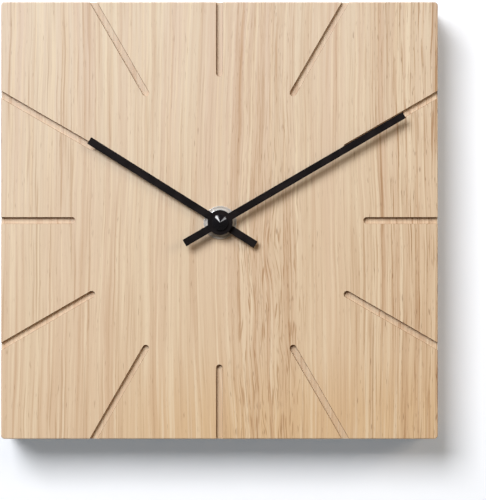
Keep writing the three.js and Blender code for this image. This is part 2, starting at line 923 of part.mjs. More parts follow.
function magnetWindow() {
  const radius = magnetRadius + magnetAirGap;
  return at(rod(radius, plateFront - cutOverrun, poleFront + cutOverrun, fineSides), rotorAxis);
}

function upperPolePiece() {
  const below = -(poleRingRadius + cutOverrun);
  const half = farArmWidth / 2;
  const armTop = farArmHeight + half;
  const legRight = coreLeft + poleArmWidth;
  const coreBottom = coreHeight - poleArmWidth / 2;
  const arm = slab(coreLeft, rotorAxis.x, farArmHeight - half, armTop, plateFront, poleFront);
  const leg = slab(coreLeft, legRight, coreBottom, armTop, plateFront, poleFront);
  return cut(join(poleRing(below, poleSlit / 2), arm, leg), magnetWindow());
}

function lowerPolePiece() {
  const above = poleRingRadius + cutOverrun;
  const half = poleArmWidth / 2;
  const left = coreRight - poleArmWidth;
  const arm = slab(left, rotorAxis.x, coreHeight - half, coreHeight + half, plateFront, poleFront);
  return cut(join(poleRing(-poleSlit / 2, above), arm), magnetWindow());
}

function coilCore() {
  const half = poleArmWidth / 2;
  return slab(coreLeft, coreRight, coreHeight - half, coreHeight + half, poleFront, coreFront);
}

// A square-holed spool or winding round the core: the hole clears the core by a given margin.
function roundCore(left, right, radius, margin) {
  const body = crossRod(radius, left, right).translate(0, -coreOut, coreHeight);
  const half = poleArmWidth / 2 + margin;
  const rear = poleFront - margin;
  const front = coreFront + margin;
  const hole = slab(
    left - cutOverrun,
    right + cutOverrun,
    coreHeight - half,
    coreHeight + half,
    rear,
    front,
  );
  return cut(body, hole);
}

function coilBobbin() {
  const half = poleArmWidth / 2 + bobbinClearance + bobbinWall;
  const rear = poleFront - bobbinClearance - bobbinWall;
  const front = coreFront + bobbinClearance + bobbinWall;
  const sleeve = slab(
    bobbinLeft,
    bobbinRight,
    coreHeight - half,
    coreHeight + half,
    rear,
    front,
  );
  const hole = slab(
    bobbinLeft - cutOverrun,
    bobbinRight + cutOverrun,
    coreHeight - half + bobbinWall,
    coreHeight + half - bobbinWall,
    rear + bobbinWall,
    front - bobbinWall,
  );
  const leftFlange = crossRod(bobbinFlangeRadius, bobbinLeft, bobbinLeft + bobbinFlangeThickness);
  const rightFlange = crossRod(bobbinFlangeRadius, bobbinRight - bobbinFlangeThickness, bobbinRight);
  leftFlange.translate(0, -coreOut, coreHeight);
  rightFlange.translate(0, -coreOut, coreHeight);
  return cut(join(sleeve, leftFlange, rightFlange), hole);
}

function coilWinding() {
  const left = bobbinLeft + bobbinFlangeThickness + bobbinClearance;
  const right = bobbinRight - bobbinFlangeThickness - bobbinClearance;
  return roundCore(left, right, windingRadius, 2 * bobbinClearance + bobbinWall);
}

// Train plate behind the wheels, with a pivot hole for each arbor and stand-offs for the board.
function trainPlate() {
  const edge = postRadius + plateMargin;
  const left = -postSide - edge;
  const right = postSide + edge;
  const aboveCoil = coreHeight + bobbinFlangeRadius + bobbinClearance + plateMargin;
  const besideCoil = coreRight - poleArmWidth + plateMargin;
  const shape = outline([
    point(left, postTop + edge),
    point(left, aboveCoil),
    point(besideCoil, aboveCoil),
    point(besideCoil, postAboveBay - edge),
    point(postBesideBoss + edge, postAboveBay - edge),
    point(postBesideBoss + edge, aboveCoil),
    point(right, aboveCoil),
    point(right, postTop + edge),
  ]);
  const standOffFront = plateRear + plateThickness / 2;
  const standOffs = rodsAt(postPlaces, postRadius, boardFront, standOffFront, smallSides);
  const screwHoles = rodsAt(
    postPlaces,
    boardScrewRadius + screwClearance,
    boardFront - cutOverrun,
    plateFront + cutOverrun,
    smallSides,
  );
  const pivotHoles = rodsAt(
    [centreAxis, thirdAxis, driveAxis, rotorAxis],
    pivotRadius + pivotClearance,
    plateRear - cutOverrun,
    plateFront + cutOverrun,
    smallSides,
  );
  const sight = lightHole(plateRear, plateFront, centreAxis);
  return cut(join(prism(shape, plateRear, plateFront), ...standOffs), sight, ...screwHoles, ...pivotHoles);
}

const boardHalfWidth = shellInnerHalfWidth - boardMargin;
const boardTop = shellInnerTop - boardMargin;

function circuitBoard() {
  const blank = slab(
    -boardHalfWidth,
    boardHalfWidth,
    -bayFromHands + boardBayGap,
    boardTop,
    boardRear,
    boardFront,
  );
  const rear = boardRear - cutOverrun;
  const front = boardFront + cutOverrun;
  const screwHoles = rodsAt(postPlaces, boardScrewRadius + screwClearance, rear, front, smallSides);
  const corners = rodsAt(caseScrewPlaces, caseBossRadius + boardBossGap, rear, front, smallSides);
  const waste = caseScrewPlaces.map((place) => {
    const outward = Math.sign(place.x) * caseBossRadius * 2;
    const upward = Math.sign(place.y) * caseBossRadius * 2;
    const left = Math.min(place.x, place.x + outward);
    const bottom = Math.min(place.y, place.y + upward);
    return slab(left, left + Math.abs(outward), bottom, bottom + Math.abs(upward), rear, front);
  });
  return cut(blank, ...screwHoles, ...corners, ...waste);
}

// Parts soldered on the rear of the board. Their places are shares of the board's half sizes.
function onBoardRear(shares) {
  return point(shares[0] * boardHalfWidth, shares[1] * boardTop);
}

function centredSlab(width, height, rear, front) {
  return slab(-width / 2, width / 2, -height / 2, height / 2, rear, front);
}

function quartzCrystal() {
  const out = boardRear - crystalRadius;
  const can = crossRod(crystalRadius, -crystalLength / 2, crystalLength / 2, smallSides);
  return can.translate(0, -out, 0);
}

function ferriteRod() {
  const body = crossRod(ferriteRadius, -ferriteHalfLength, ferriteHalfLength);
  return body.translate(0, -antennaOut, antennaHeight);
}

function antennaCoil() {
  const half = antennaCoilHalfLength;
  const body = crossRod(antennaCoilRadius, -half, half);
  const hole = crossRod(ferriteRadius + antennaCoilFit, -half - cutOverrun, half + cutOverrun);
  return cut(body, hole).translate(0, -antennaOut, antennaHeight);
}

const buttonFlangeFront = caseInnerRear + buttonFlangeGap + buttonFlangeThickness;

function pushButton() {
  const flangeRear = caseInnerRear + buttonFlangeGap;
  const flangeRadius = buttonRadius + buttonFlangeExtra;
  return turned([
    [0, caseRear - buttonStandOut],
    [buttonRadius, caseRear - buttonStandOut],
    [buttonRadius, flangeRear],
    [flangeRadius, flangeRear],
    [flangeRadius, buttonFlangeFront],
    [0, buttonFlangeFront],
  ]);
}

function tactSwitch() {
  const plungerRear = buttonFlangeFront + buttonTravel + buttonFlangeGap;
  const bodyRear = plungerRear + plungerHeight;
  return join(
    centredSlab(switchSide, switchSide, bodyRear, boardRear),
    rod(plungerRadius, plungerRear, (bodyRear + boardRear) / 2, smallSides),
  );
}

// A hand: a straight bar, square at both ends, that tapers towards its tip, with a round hub.
function hand(length, tail, hubWidth, tipWidth, rear, hole) {
  const front = rear + handThickness;
  const bar = outline([
    point(-hubWidth / 2, -tail),
    point(hubWidth / 2, -tail),
    point(tipWidth / 2, length),
    point(-tipWidth / 2, length),
  ]);
  const hub = rod(handHubRadius, rear, front, fineSides);
  const hubHole = rod(hole, rear - cutOverrun, front + cutOverrun, fineSides);
  return cut(join(prism(bar, rear, front), hub), hubHole);
}

// Bush pressed into a hand: a sleeve round the shaft, with a flange behind the hand.
function handBush(shaftRadius, rear) {
  const bore = shaftRadius + bushFit;
  const sleeve = bore + bushWall;
  const front = rear + handThickness;
  const flangeRear = rear - bushFlangeThickness;
  const profile = [
    [bore, flangeRear],
    [bushFlangeRadius, flangeRear],
    [bushFlangeRadius, rear],
    [sleeve, rear],
    [sleeve, front],
    [bore, front],
    [bore, flangeRear],
  ];
  return turned(profile, fineSides);
}

const handHole = (shaftRadius) => shaftRadius + bushFit + bushWall + bushFit;

function capNut() {
  const coneTop = capRimFront + capConeHeight;
  const body = turned(
    [
      [0, minuteHandFront],
      [capRadius, minuteHandFront],
      [capRadius, capRimFront],
      [capTipRadius, coneTop],
      [0, coneTop],
    ],
    fineSides,
  );
  const bore = rod(
    minuteShaftRadius + bushFit,
    minuteHandFront - cutOverrun,
    minuteHandFront + capBoreDepth,
    fineSides,
  );
  return cut(body, bore);
}

// What turns with each hand
const hourGroup = new THREE.Group();
hourGroup.add(
  piece(
    "hour_hand",
    hand(hourLength, hourTail, hourHandWidth, hourHandWidth, hourHandRear, handHole(hourTubeRadius)),
    blackPaint,
  ),
  piece("hour_bush", handBush(hourTubeRadius, hourHandRear), brass),
);
hourGroup.rotation.y = hourRestDegrees * degrees;

const minuteGroup = new THREE.Group();
minuteGroup.add(
  piece(
    "minute_hand",
    hand(
      minuteLength,
      minuteTail,
      minuteHandWidth,
      minuteTipWidth,
      minuteHandRear,
      handHole(minuteShaftRadius),
    ),
    blackPaint,
  ),
  piece("minute_bush", handBush(minuteShaftRadius, minuteHandRear), brass),
  piece("cap_nut", capNut(), blackPaint),
);
minuteGroup.rotation.y = minuteRestDegrees * degrees;

const clock = new THREE.Group();
clock.position.z = -slotApex;
clock.add(
  piece("oak_body", oakBody(), oak, blockCentre),
  piece("hanger_bracket", hangerBracket(), steel),
  piece("rubber_washer", rubberWasher(), rubber),
  piece("clear_nut", clearNut(), clearPlastic),
  piece("case_front_shell", caseFrontShell(), blackPlastic),
  piece("case_rear_shell", caseRearShell(), blackPlastic),
  piece("train_plate", trainPlate(), whitePlastic),
  piece("circuit_board", circuitBoard(), boardGreen),
  piece("ferrite_rod", ferriteRod(), ferriteGrey),
  piece("antenna_coil", antennaCoil(), copper),
  piece("battery", batteryCell(), cellJacket),
  piece("plus_contact", plusContact(), steel),
  piece("minus_contact", minusContact(), steel),
  piece("upper_pole_piece", upperPolePiece(), steel),
  piece("lower_pole_piece", lowerPolePiece(), steel),
  piece("coil_core", coilCore(), steel),
  piece("coil_bobbin", coilBobbin(), whitePlastic),
  piece("coil_winding", coilWinding(), copper),
  piece("rotor_magnet", rotorMagnet(), magnetGrey, rotorAxis),
  piece("rotor_pinion", rotorPinion(), whitePlastic, rotorAxis),
  piece("drive_wheel", driveWheel(), whitePlastic, driveAxis),
  piece("third_wheel", thirdWheel(), whitePlastic, thirdAxis),
  piece("centre_wheel", centreWheel(), whitePlastic),
  piece("motion_wheel", motionWheel(), whitePlastic, motionAxis),
  piece("hour_wheel", hourWheel(), whitePlastic),
  piece(
    "receiver_chip",
    centredSlab(chipSide, chipSide, boardRear - chipHeight, boardRear),
    blackPlastic,
    onBoardRear(chipPlaceShares),
  ),
  piece("quartz_crystal", quartzCrystal(), steel, onBoardRear(crystalPlaceShares)),
  piece(
    "tuning_capacitor",
    centredSlab(capacitorLength, capacitorWidth, boardRear - capacitorHeight, boardRear),
    brass,
    onBoardRear(capacitorPlaceShares),
  ),
  piece(
    "position_lamp",
    centredSlab(lampSide, lampSide, boardFront, boardFront + lampThickness),
    clearPlastic,
    lightPath,
  ),
  piece(
    "light_sensor",
    centredSlab(sensorSide, sensorSide, caseInnerFront - sensorThickness, caseInnerFront),
    blackPlastic,
    lightPath,
  ),
  hourGroup,
  minuteGroup,
);
for (const [index, name] of buttonNames.entries()) {
  const cap = name === "reset" ? redPlastic : whitePlastic;
  clock.add(piece(`${name}_button`, pushButton(), cap, buttonPlaces[index]));
  clock.add(piece(`${name}_switch`, tactSwitch(), blackPlastic, buttonPlaces[index]));
}
for (const [index, place] of caseScrewPlaces.entries()) {
  clock.add(piece(`case_screw_${index + 1}`, caseScrew(), steel, place));
}
for (const [index, place] of postPlaces.entries()) {
  clock.add(piece(`board_screw_${index + 1}`, boardScrew(), steel, place));
}

export default clock;
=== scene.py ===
import math

import bmesh
import bpy
from mathutils import Matrix, Vector


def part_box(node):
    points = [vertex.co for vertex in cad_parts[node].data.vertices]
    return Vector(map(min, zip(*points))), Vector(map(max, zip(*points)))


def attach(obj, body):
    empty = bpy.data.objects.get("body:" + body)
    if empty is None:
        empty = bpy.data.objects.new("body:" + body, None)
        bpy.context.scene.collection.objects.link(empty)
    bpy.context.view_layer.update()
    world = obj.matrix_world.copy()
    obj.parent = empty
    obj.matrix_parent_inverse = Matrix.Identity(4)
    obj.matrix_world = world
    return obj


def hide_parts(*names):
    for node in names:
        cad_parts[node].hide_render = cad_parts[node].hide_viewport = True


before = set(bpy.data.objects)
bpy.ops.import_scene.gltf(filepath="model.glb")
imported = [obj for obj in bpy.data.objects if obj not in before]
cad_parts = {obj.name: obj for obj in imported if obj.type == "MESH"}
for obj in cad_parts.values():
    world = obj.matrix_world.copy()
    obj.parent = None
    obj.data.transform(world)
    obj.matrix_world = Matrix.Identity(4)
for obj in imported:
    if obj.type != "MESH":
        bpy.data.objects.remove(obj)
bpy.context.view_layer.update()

# The camera stands square to the wall, a little to the right of the clock's middle and below it,
# with a long lens. Lengths are in millimetres about the hands' axis, "out" counts from the wall
# towards the room, and everything is brought into the frame as it is made.
METRE = 1000.0
HANDS_BELOW_HOOK = 44.0
BLOCK_SHIFT_X = -0.35
BLOCK_SHIFT_Z = 0.95
BLOCK_DEPTH = 28.0
VIEW_RIGHT = 10.8
VIEW_BELOW = 13.5
VIEW_HEIGHT_AT_FACE = 228.9
SENSOR_SIDE = 24.0
LENS = 100.0
QUARTER_TURN = math.radians(90)
TO_FRAME = Matrix.Translation((0, 0, -HANDS_BELOW_HOOK / METRE)) @ Matrix.Scale(1 / METRE, 4)


def in_frame(x, out, z):
    """A point in the frame, in metres, from millimetres about the hands' axis."""
    return TO_FRAME @ Vector((x, -out, z))


def linked(name, data):
    """An object in the scene that holds this mesh, lamp or camera."""
    piece = bpy.data.objects.new(name, data)
    bpy.context.collection.objects.link(piece)
    return piece


camera = linked("camera", bpy.data.cameras.new("camera"))
bpy.context.scene.camera = camera
camera.data.sensor_width = SENSOR_SIDE
camera.data.lens = LENS
camera.location = in_frame(
    BLOCK_SHIFT_X + VIEW_RIGHT,
    BLOCK_DEPTH + VIEW_HEIGHT_AT_FACE * LENS / SENSOR_SIDE,
    BLOCK_SHIFT_Z - VIEW_BELOW,
)
camera.rotation_euler = (QUARTER_TURN, 0, 0)
bpy.context.scene.view_settings.view_transform = "Standard"


# The wall is a plain white painted sheet that the block lies flat against. It is open where the
# block covers it, and can be looked through from behind, so that the clock's back can be seen.
class Wire:
    """The output of a node. Sums on wires add Math nodes."""

    def __init__(self, tree, socket):
        self.tree = tree
        self.socket = socket

    def maths(self, operation, *values):
        inputs = dict(enumerate(values))
        return self.tree.add("ShaderNodeMath", {"operation": operation}, inputs)

    def __add__(self, other):
        return self.maths("ADD", self, other)

    def __sub__(self, other):
        return self.maths("SUBTRACT", self, other)

    def __rsub__(self, other):
        return self.maths("SUBTRACT", other, self)

    def __mul__(self, other):
        return self.maths("MULTIPLY", self, other)

    def __truediv__(self, other):
        return self.maths("DIVIDE", self, other)

    def __pow__(self, other):
        return self.maths("POWER", self, other)

    __radd__ = __add__
    __rmul__ = __mul__

    def fraction(self):
        return self.maths("FRACT", self)

    def whole(self):
        return self.maths("FLOOR", self)

    def sine(self):
        return self.maths("SINE", self)

    def size(self):
        return self.maths("ABSOLUTE", self)

    def most(self, other):
        return self.maths("MAXIMUM", self, other)


class Tree:
    """A node tree, filled with one method for any node."""

    def __init__(self, tree):
        self.tree = tree

    def add(self, kind, settings=None, inputs=None, output=0):
        """A new node. Gives the wire of one output, or a list of wires for a list of outputs."""
        node = self.tree.nodes.new(kind)
        for name, value in (settings or {}).items():
            setattr(node, name, value)
        for name, value in (inputs or {}).items():
            if isinstance(value, Wire):
                self.tree.links.new(value.socket, node.inputs[name])
            else:
                node.inputs[name].default_value = value
        if isinstance(output, list):
            return [Wire(self, node.outputs[name]) for name in output]
        return Wire(self, node.outputs[output]) if len(node.outputs) else None

    def parts(self, vector):
        return self.add("ShaderNodeSeparateXYZ", None, {0: vector}, [0, 1, 2])

    def between(self, value, low, high, start=0.0, end=1.0):
        """Start below low, end above high, and smooth between."""
        inputs = {0: value, 1: low, 2: high, 3: start, 4: end}
        return self.add("ShaderNodeMapRange", {"interpolation_type": "SMOOTHSTEP"}, inputs)

    def mix(self, factor, first, second):
        inputs = {0: factor, 6: first, 7: second}
        return self.add("ShaderNodeMix", {"data_type": "RGBA"}, inputs, output=2)


class Finish(Tree):
    """A material. Its patterns are written in millimetres on the piece itself."""

    def __init__(self, name):
        self.material = bpy.data.materials.new(name)
        self.material.use_nodes = True
        super().__init__(self.material.node_tree)
        self.tree.nodes.clear()

    def place(self):
        """Where a point of the surface is, in millimetres from the hook."""
        metres = self.add("ShaderNodeTexCoord", output="Object")
        return self.stretched(metres, (METRE, METRE, METRE))

    def about_axis(self):
        """Where a point of the surface is, in millimetres from the hands' axis."""
        return self.moved(self.place(), (0, 0, HANDS_BELOW_HOOK))

    def stretched(self, vector, factors):
        inputs = {0: vector, 1: factors}
        return self.add("ShaderNodeVectorMath", {"operation": "MULTIPLY"}, inputs)

    def moved(self, vector, step):
        return self.add("ShaderNodeVectorMath", {"operation": "ADD"}, {0: vector, 1: step})

    def vector(self, x, y, z):
        return self.add("ShaderNodeCombineXYZ", None, {0: x, 1: y, 2: z})

    def noise(self, vector, detail=2.0):
        inputs = {"Vector": vector, "Scale": 1.0, "Detail": detail}
        return self.add("ShaderNodeTexNoise", None, inputs)

    def even_noise(self, vector, fineness, detail=2.0):
        """Noise that is alike in all directions, finer as the fineness grows."""
        return self.noise(self.stretched(vector, (fineness, fineness, fineness)), detail)

    def bump(self, height, depth, normal=None):
        """Height from 0 to 1 stands for a depth in millimetres."""
        inputs = {"Height": height, "Distance": depth / METRE, "Strength": 1.0}
        if normal is not None:
            inputs["Normal"] = normal
        return self.add("ShaderNodeBump", None, inputs)

    def surface(self, colour, roughness, normal, **constants):
        inputs = {"Base Color": colour, "Roughness": roughness, "Normal": normal}
        inputs.update({name.replace("_", " "): value for name, value in constants.items()})
        self.end_in(self.add("ShaderNodeBsdfPrincipled", None, inputs))

    def end_in(self, shader):
        self.add("ShaderNodeOutputMaterial", None, {"Surface": shader})


def paint(red, green, blue):
    """A colour as it is read off a screen, from 0 to 255, for a socket."""
    screen = [value / 255 for value in (red, green, blue)]
    linear = [v / 12.92 if v <= 0.04045 else ((v + 0.055) / 1.055) ** 2.4 for v in screen]
    return (*linear, 1.0)


BLOCK_HALF = 100.0
WALL_HALF = 1600.0
wall_points = [
    in_frame(BLOCK_SHIFT_X + x * half, 0, BLOCK_SHIFT_Z + z * half)
    for half in (WALL_HALF, BLOCK_HALF)
    for x, z in ((-1, -1), (1, -1), (1, 1), (-1, 1))
]
wall_faces = [(n, (n + 1) % 4, (n + 1) % 4 + 4, n + 4) for n in range(4)]
wall_mesh = bpy.data.meshes.new("wall")
wall_mesh.from_pydata(wall_points, [], wall_faces)
wall = linked("wall", wall_mesh)

PLASTER_FINENESS = 0.4
PLASTER_DEPTH = 0.01
SIGHTS = ["Is Camera Ray", "Is Glossy Ray", "Is Transmission Ray"]
# The first white throws light back on the wood. The others are what can be seen of the wall.
WALL_WHITE = paint(235, 239, 245)
WALL_SEEN_WHITE = paint(243, 242, 243)
WALL_SEEN_GLOW = {"Color": (0.57, 0.8, 1.0, 1.0), "Strength": 0.19}
wall_paint = Finish("wall_paint")
camera_sees, mirror_sees, glass_sees = wall_paint.add("ShaderNodeLightPath", output=SIGHTS)
seen = camera_sees.most(mirror_sees).most(glass_sees)
plaster = wall_paint.even_noise(wall_paint.place(), PLASTER_FINENESS, 3.0)
wall_relief = wall_paint.bump(plaster, PLASTER_DEPTH)
plain = wall_paint.add("ShaderNodeBsdfDiffuse", None, {"Color": WALL_WHITE, "Normal": wall_relief})
bright = wall_paint.add("ShaderNodeBsdfDiffuse", None, {"Color": WALL_SEEN_WHITE})
glow = wall_paint.add("ShaderNodeEmission", None, WALL_SEEN_GLOW)
lit = wall_paint.add("ShaderNodeAddShader", None, {0: bright, 1: glow})
front = wall_paint.add("ShaderNodeMixShader", None, {0: seen, 1: plain, 2: lit})
behind = wall_paint.add("ShaderNodeNewGeometry", output="Backfacing")
nothing = wall_paint.add("ShaderNodeBsdfTransparent")
sheet = wall_paint.add("ShaderNodeMixShader", None, {0: behind, 1: front, 2: nothing})
wall_paint.end_in(sheet)
wall.data.materials.append(wall_paint.material)


# Daylight studio: a square soft lamp up on the left, a weaker and warmer one up on the right, a
# lamp behind the wall that only the clock's back sees, and an even surround. Two narrow strips
# add nothing but the two streaks on the cap nut.
def hung_lamp(name, spot, width, height, power, tint=(1.0, 1.0, 1.0)):
    """A soft lamp, its sizes in millimetres and its power in watts, turned to the hands' axis."""
    lamp = linked(name, bpy.data.lights.new(name, "AREA"))
    lamp.data.shape = "RECTANGLE"
    lamp.data.size = width / METRE
    lamp.data.size_y = height / METRE
    lamp.data.energy = power
    lamp.data.color = tint
    lamp.location = in_frame(*spot)
    aim = in_frame(0, BLOCK_DEPTH, 0) - lamp.location
    lamp.rotation_euler = aim.to_track_quat("-Z", "Y").to_euler()
    return lamp


KEY_SPOT = (-860, 2028, 1130)
KEY_SIDE = 1200
KEY_TINT = (0.97, 1.0, 1.045)
FILL_SPOT = (1962, 1582, 956)
FILL_SIDE = 1000
FILL_TINT = (1.15, 0.98, 0.78)
REAR_SPOT = (260, -800, 420)
REAR_SIDE = 600
hung_lamp("key_lamp", KEY_SPOT, KEY_SIDE, KEY_SIDE, power=64.3, tint=KEY_TINT)
fill_lamp = hung_lamp("fill_lamp", FILL_SPOT, FILL_SIDE, FILL_SIDE, power=13.6, tint=FILL_TINT)
fill_lamp.visible_glossy = False
hung_lamp("rear_lamp", REAR_SPOT, REAR_SIDE, REAR_SIDE, power=7.0)

STRIP_AWAY = 600.0
STRIP_TILT = math.radians(66)
STRIP_LENGTH = 200.0
STRIPS = {
    "left_strip": (math.radians(-32.4), 190, 1.5),
    "right_strip": (math.radians(50.0), 110, 0.33),
}
for name, (clock_angle, width, power) in STRIPS.items():
    side = math.sin(STRIP_TILT) * STRIP_AWAY
    spot = (
        side * math.sin(clock_angle),
        BLOCK_DEPTH + math.cos(STRIP_TILT) * STRIP_AWAY,
        side * math.cos(clock_angle),
    )
    strip = hung_lamp(name, spot, width, STRIP_LENGTH, power)
    strip.visible_diffuse = False

# Mirrors and glass see white on the wall's side and a dim room on the other.
SURROUND = 0.1
ROOM_SEEN = 0.07
ROOM_TINT = (1.25, 0.97, 0.69, 1.0)
NO_TINT = (1.0, 1.0, 1.0, 1.0)
world = bpy.data.worlds.new("studio")
bpy.context.scene.world = world
world.use_nodes = True
studio = Tree(world.node_tree)
studio.tree.nodes.clear()
camera_sees, mirror_sees, glass_sees = studio.add("ShaderNodeLightPath", output=SIGHTS)
heading = studio.parts(studio.add("ShaderNodeTexCoord", output="Generated"))
wall_side = studio.between(heading[1], -0.15, 0.05, ROOM_SEEN, 1.0)
strength = mirror_sees.most(glass_sees) * (wall_side - SURROUND) + SURROUND
strength = camera_sees * (1.0 - strength) + strength
tint = studio.mix(camera_sees.most(mirror_sees).most(glass_sees), ROOM_TINT, NO_TINT)
sky = studio.add("ShaderNodeBackground", None, {"Color": tint, "Strength": strength})
studio.add("ShaderNodeOutputWorld", None, {"Surface": sky})


# The block is one piece of solid pale oak, planed square with its edges barely eased. Twelve hour
# grooves are milled into the face with a round cutter that runs out over the sides, and a pocket
# is milled into the back for the works. It is oiled, so it keeps a flat, dry look.
def rounded_outline(half_x, half_z, radius, steps, centre=(0.0, 0.0)):
    """Corners of a rectangle with round corners, as (x, z)."""
    outline = []
    for quarter, (side, up) in enumerate(((1, -1), (1, 1), (-1, 1), (-1, -1))):
        for step in range(steps + 1):
            angle = QUARTER_TURN * (quarter - 1 + step / steps)
            x = centre[0] + side * (half_x - radius) + radius * math.cos(angle)
            z = centre[1] + up * (half_z - radius) + radius * math.sin(angle)
            outline.append((x, z))
    return outline


def stacked(name, rings, bored=False):
    """A closed mesh through rings of the same count. A ring is (out, [(x, z), ...]).

    A bored one has a hole through it: its last ring joins up with its first."""
    sides = len(rings[0][1])
    points = [(x, -out, z) for out, ring in rings for x, z in ring]
    faces = []
    for level in range(len(rings) if bored else len(rings) - 1):
        low = level * sides
        high = (low + sides) % len(points)
        for n in range(sides):
            after = (n + 1) % sides
            faces.append((low + n, low + after, high + after, high + n))
    if not bored:
        faces.append(tuple(reversed(range(sides))))
        faces.append(tuple(range((len(rings) - 1) * sides, len(rings) * sides)))
    mesh = bpy.data.meshes.new(name)
    mesh.from_pydata(points, [], faces)
    outward(mesh)
    return mesh


def outward(mesh):
    """Turns all faces of a closed mesh outwards."""
    solid = bmesh.new()
    solid.from_mesh(mesh)
    bmesh.ops.recalc_face_normals(solid, faces=solid.faces)
    solid.to_mesh(mesh)
    solid.free()


def growing(name, sizes):
    """A Geometry Nodes tree with these named inputs, and the wires that they come in on."""
    tree = Tree(bpy.data.node_groups.new(name, "GeometryNodeTree"))
    sockets = tree.tree.interface
    for size, kind in sizes.items():
        sockets.new_socket(name=size, in_out="INPUT", socket_type="NodeSocket" + kind)
    sockets.new_socket(name="Shape", in_out="OUTPUT", socket_type="NodeSocketGeometry")
    return tree, tree.add("NodeGroupInput", output=list(range(len(sizes))))


def shape_of(tree, thing):
    return tree.add("GeometryNodeObjectInfo", None, {"Object": thing}, "Geometry")


def cut_out(tree, body, cutter):
    inputs = {"Mesh 1": body, "Mesh 2": cutter}
    return tree.add("GeometryNodeMeshBoolean", {"solver": "EXACT"}, inputs)


def full_grown(tree, shape, finish):
    """Ends a tree with its shape made real and a material on it."""
    shape = tree.add("GeometryNodeRealizeInstances", None, {0: shape})
    shape = tree.add("GeometryNodeSetMaterial", None, {"Geometry": shape, "Material": finish})
    tree.add("NodeGroupOutput", None, {0: shape})


def grown(name, blank, tree, sizes):
    """The plain mesh that a geometry tree makes of a blank, with these sizes."""
    holder = linked(name, blank)
    modifier = holder.modifiers.new(name, "NODES")
    modifier.node_group = tree.tree
    for item in tree.tree.interface.items_tree:
        if item.in_out == "INPUT" and item.name in sizes:
            modifier[item.identifier] = sizes[item.name]
    depsgraph = bpy.context.evaluated_depsgraph_get()
    mesh = bpy.data.meshes.new_from_object(holder.evaluated_get(depsgraph))
    bpy.data.objects.remove(holder)
    mesh.name = name
    return mesh


def finished(name, mesh, finish, body, replaced=(), sharp=35.0):
    """Puts a mesh made in millimetres about the hands' axis into the frame, on its body."""
    mesh.transform(TO_FRAME)
    mesh.shade_smooth()
    mesh.set_sharp_from_angle(angle=math.radians(sharp))
    if finish is not None:
        mesh.materials.clear()
        mesh.materials.append(finish.material)
    piece = linked(name, mesh)
    if replaced:
        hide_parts(*replaced)
    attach(piece, body)
    return piece


def cutter_of(name, rings):
    return linked(name, stacked(name, rings))


BLOCK_CORNER = 1.6
CORNER_STEPS = 6
BLOCK_EASE = 0.5
EASE_STEPS = 5
# One overrun takes the cutters clear of the wood, and a skim keeps faces from lying in one plane.
OVERRUN = 1.0
SKIM = 0.01

block_rings = []
for step in range(EASE_STEPS + 1):
    turn = QUARTER_TURN * step / EASE_STEPS
    inset = BLOCK_EASE * (1 - math.sin(turn))
    half = BLOCK_HALF - inset
    ring = rounded_outline(half, half, BLOCK_CORNER - inset, CORNER_STEPS)
    block_rings.append((BLOCK_EASE * (1 - math.cos(turn)), ring))
block_rings += [(BLOCK_DEPTH - out, ring) for out, ring in reversed(block_rings)]
block_blank = stacked("oak_blank", block_rings)

GROOVE_COUNT = 12
GROOVE_HALF = 1.5
GROOVE_DEPTH = 2.0
GROOVE_REACH = 66.0
GROOVE_END = 144.0
GROOVE_LIP = 0.12
GROOVE_FILLET = 0.26
GROOVE_ARC_STEPS = 16


def groove_outline(half):
    """One groove seen from the front: a round inner end and sides that run out over the block."""
    arc = [math.pi * (1 + n / GROOVE_ARC_STEPS) for n in range(GROOVE_ARC_STEPS + 1)]
    middle = GROOVE_REACH + GROOVE_HALF
    tip = [(half * math.cos(a), middle + half * math.sin(a)) for a in arc]
    return tip + [(half, GROOVE_END), (-half, GROOVE_END)]


floor_out = BLOCK_DEPTH - GROOVE_DEPTH
groove_rings = [
    (floor_out, GROOVE_HALF - GROOVE_FILLET),
    (floor_out + GROOVE_FILLET / 3, GROOVE_HALF - GROOVE_FILLET / 3),
    (floor_out + GROOVE_FILLET, GROOVE_HALF),
    (BLOCK_DEPTH - GROOVE_LIP, GROOVE_HALF),
    (BLOCK_DEPTH - GROOVE_LIP / 3, GROOVE_HALF + GROOVE_LIP / 3),
    (BLOCK_DEPTH + 2 * SKIM, GROOVE_HALF + GROOVE_LIP),
    (BLOCK_DEPTH + 2 * OVERRUN, GROOVE_HALF + GROOVE_LIP),
]
groove_rings = [(out, groove_outline(half)) for out, half in groove_rings]
groove_cutter = cutter_of("groove_cutter", groove_rings)

POCKET_HALF = 33.0
POCKET_TOP = 53.0
POCKET_BOTTOM = -44.5
POCKET_CORNER = 6.0
POCKET_CORNER_STEPS = 10
POCKET_FLOOR = 20.0
POCKET_EASE = 0.5
POCKET_FILLET = 0.4


def pocket_outline(inset):
    return rounded_outline(
        POCKET_HALF - inset,
        (POCKET_TOP - POCKET_BOTTOM) / 2 - inset,
        POCKET_CORNER - inset,
        POCKET_CORNER_STEPS,
        (0.0, (POCKET_TOP + POCKET_BOTTOM) / 2),
    )


pocket_rings = [
    (-OVERRUN, pocket_outline(-POCKET_EASE)),
    (0.0, pocket_outline(-POCKET_EASE)),
    (POCKET_EASE, pocket_outline(0)),
    (POCKET_FLOOR - POCKET_FILLET, pocket_outline(0)),
    (POCKET_FLOOR, pocket_outline(POCKET_FILLET)),
]
pocket_cutter = cutter_of("pocket_cutter", pocket_rings)

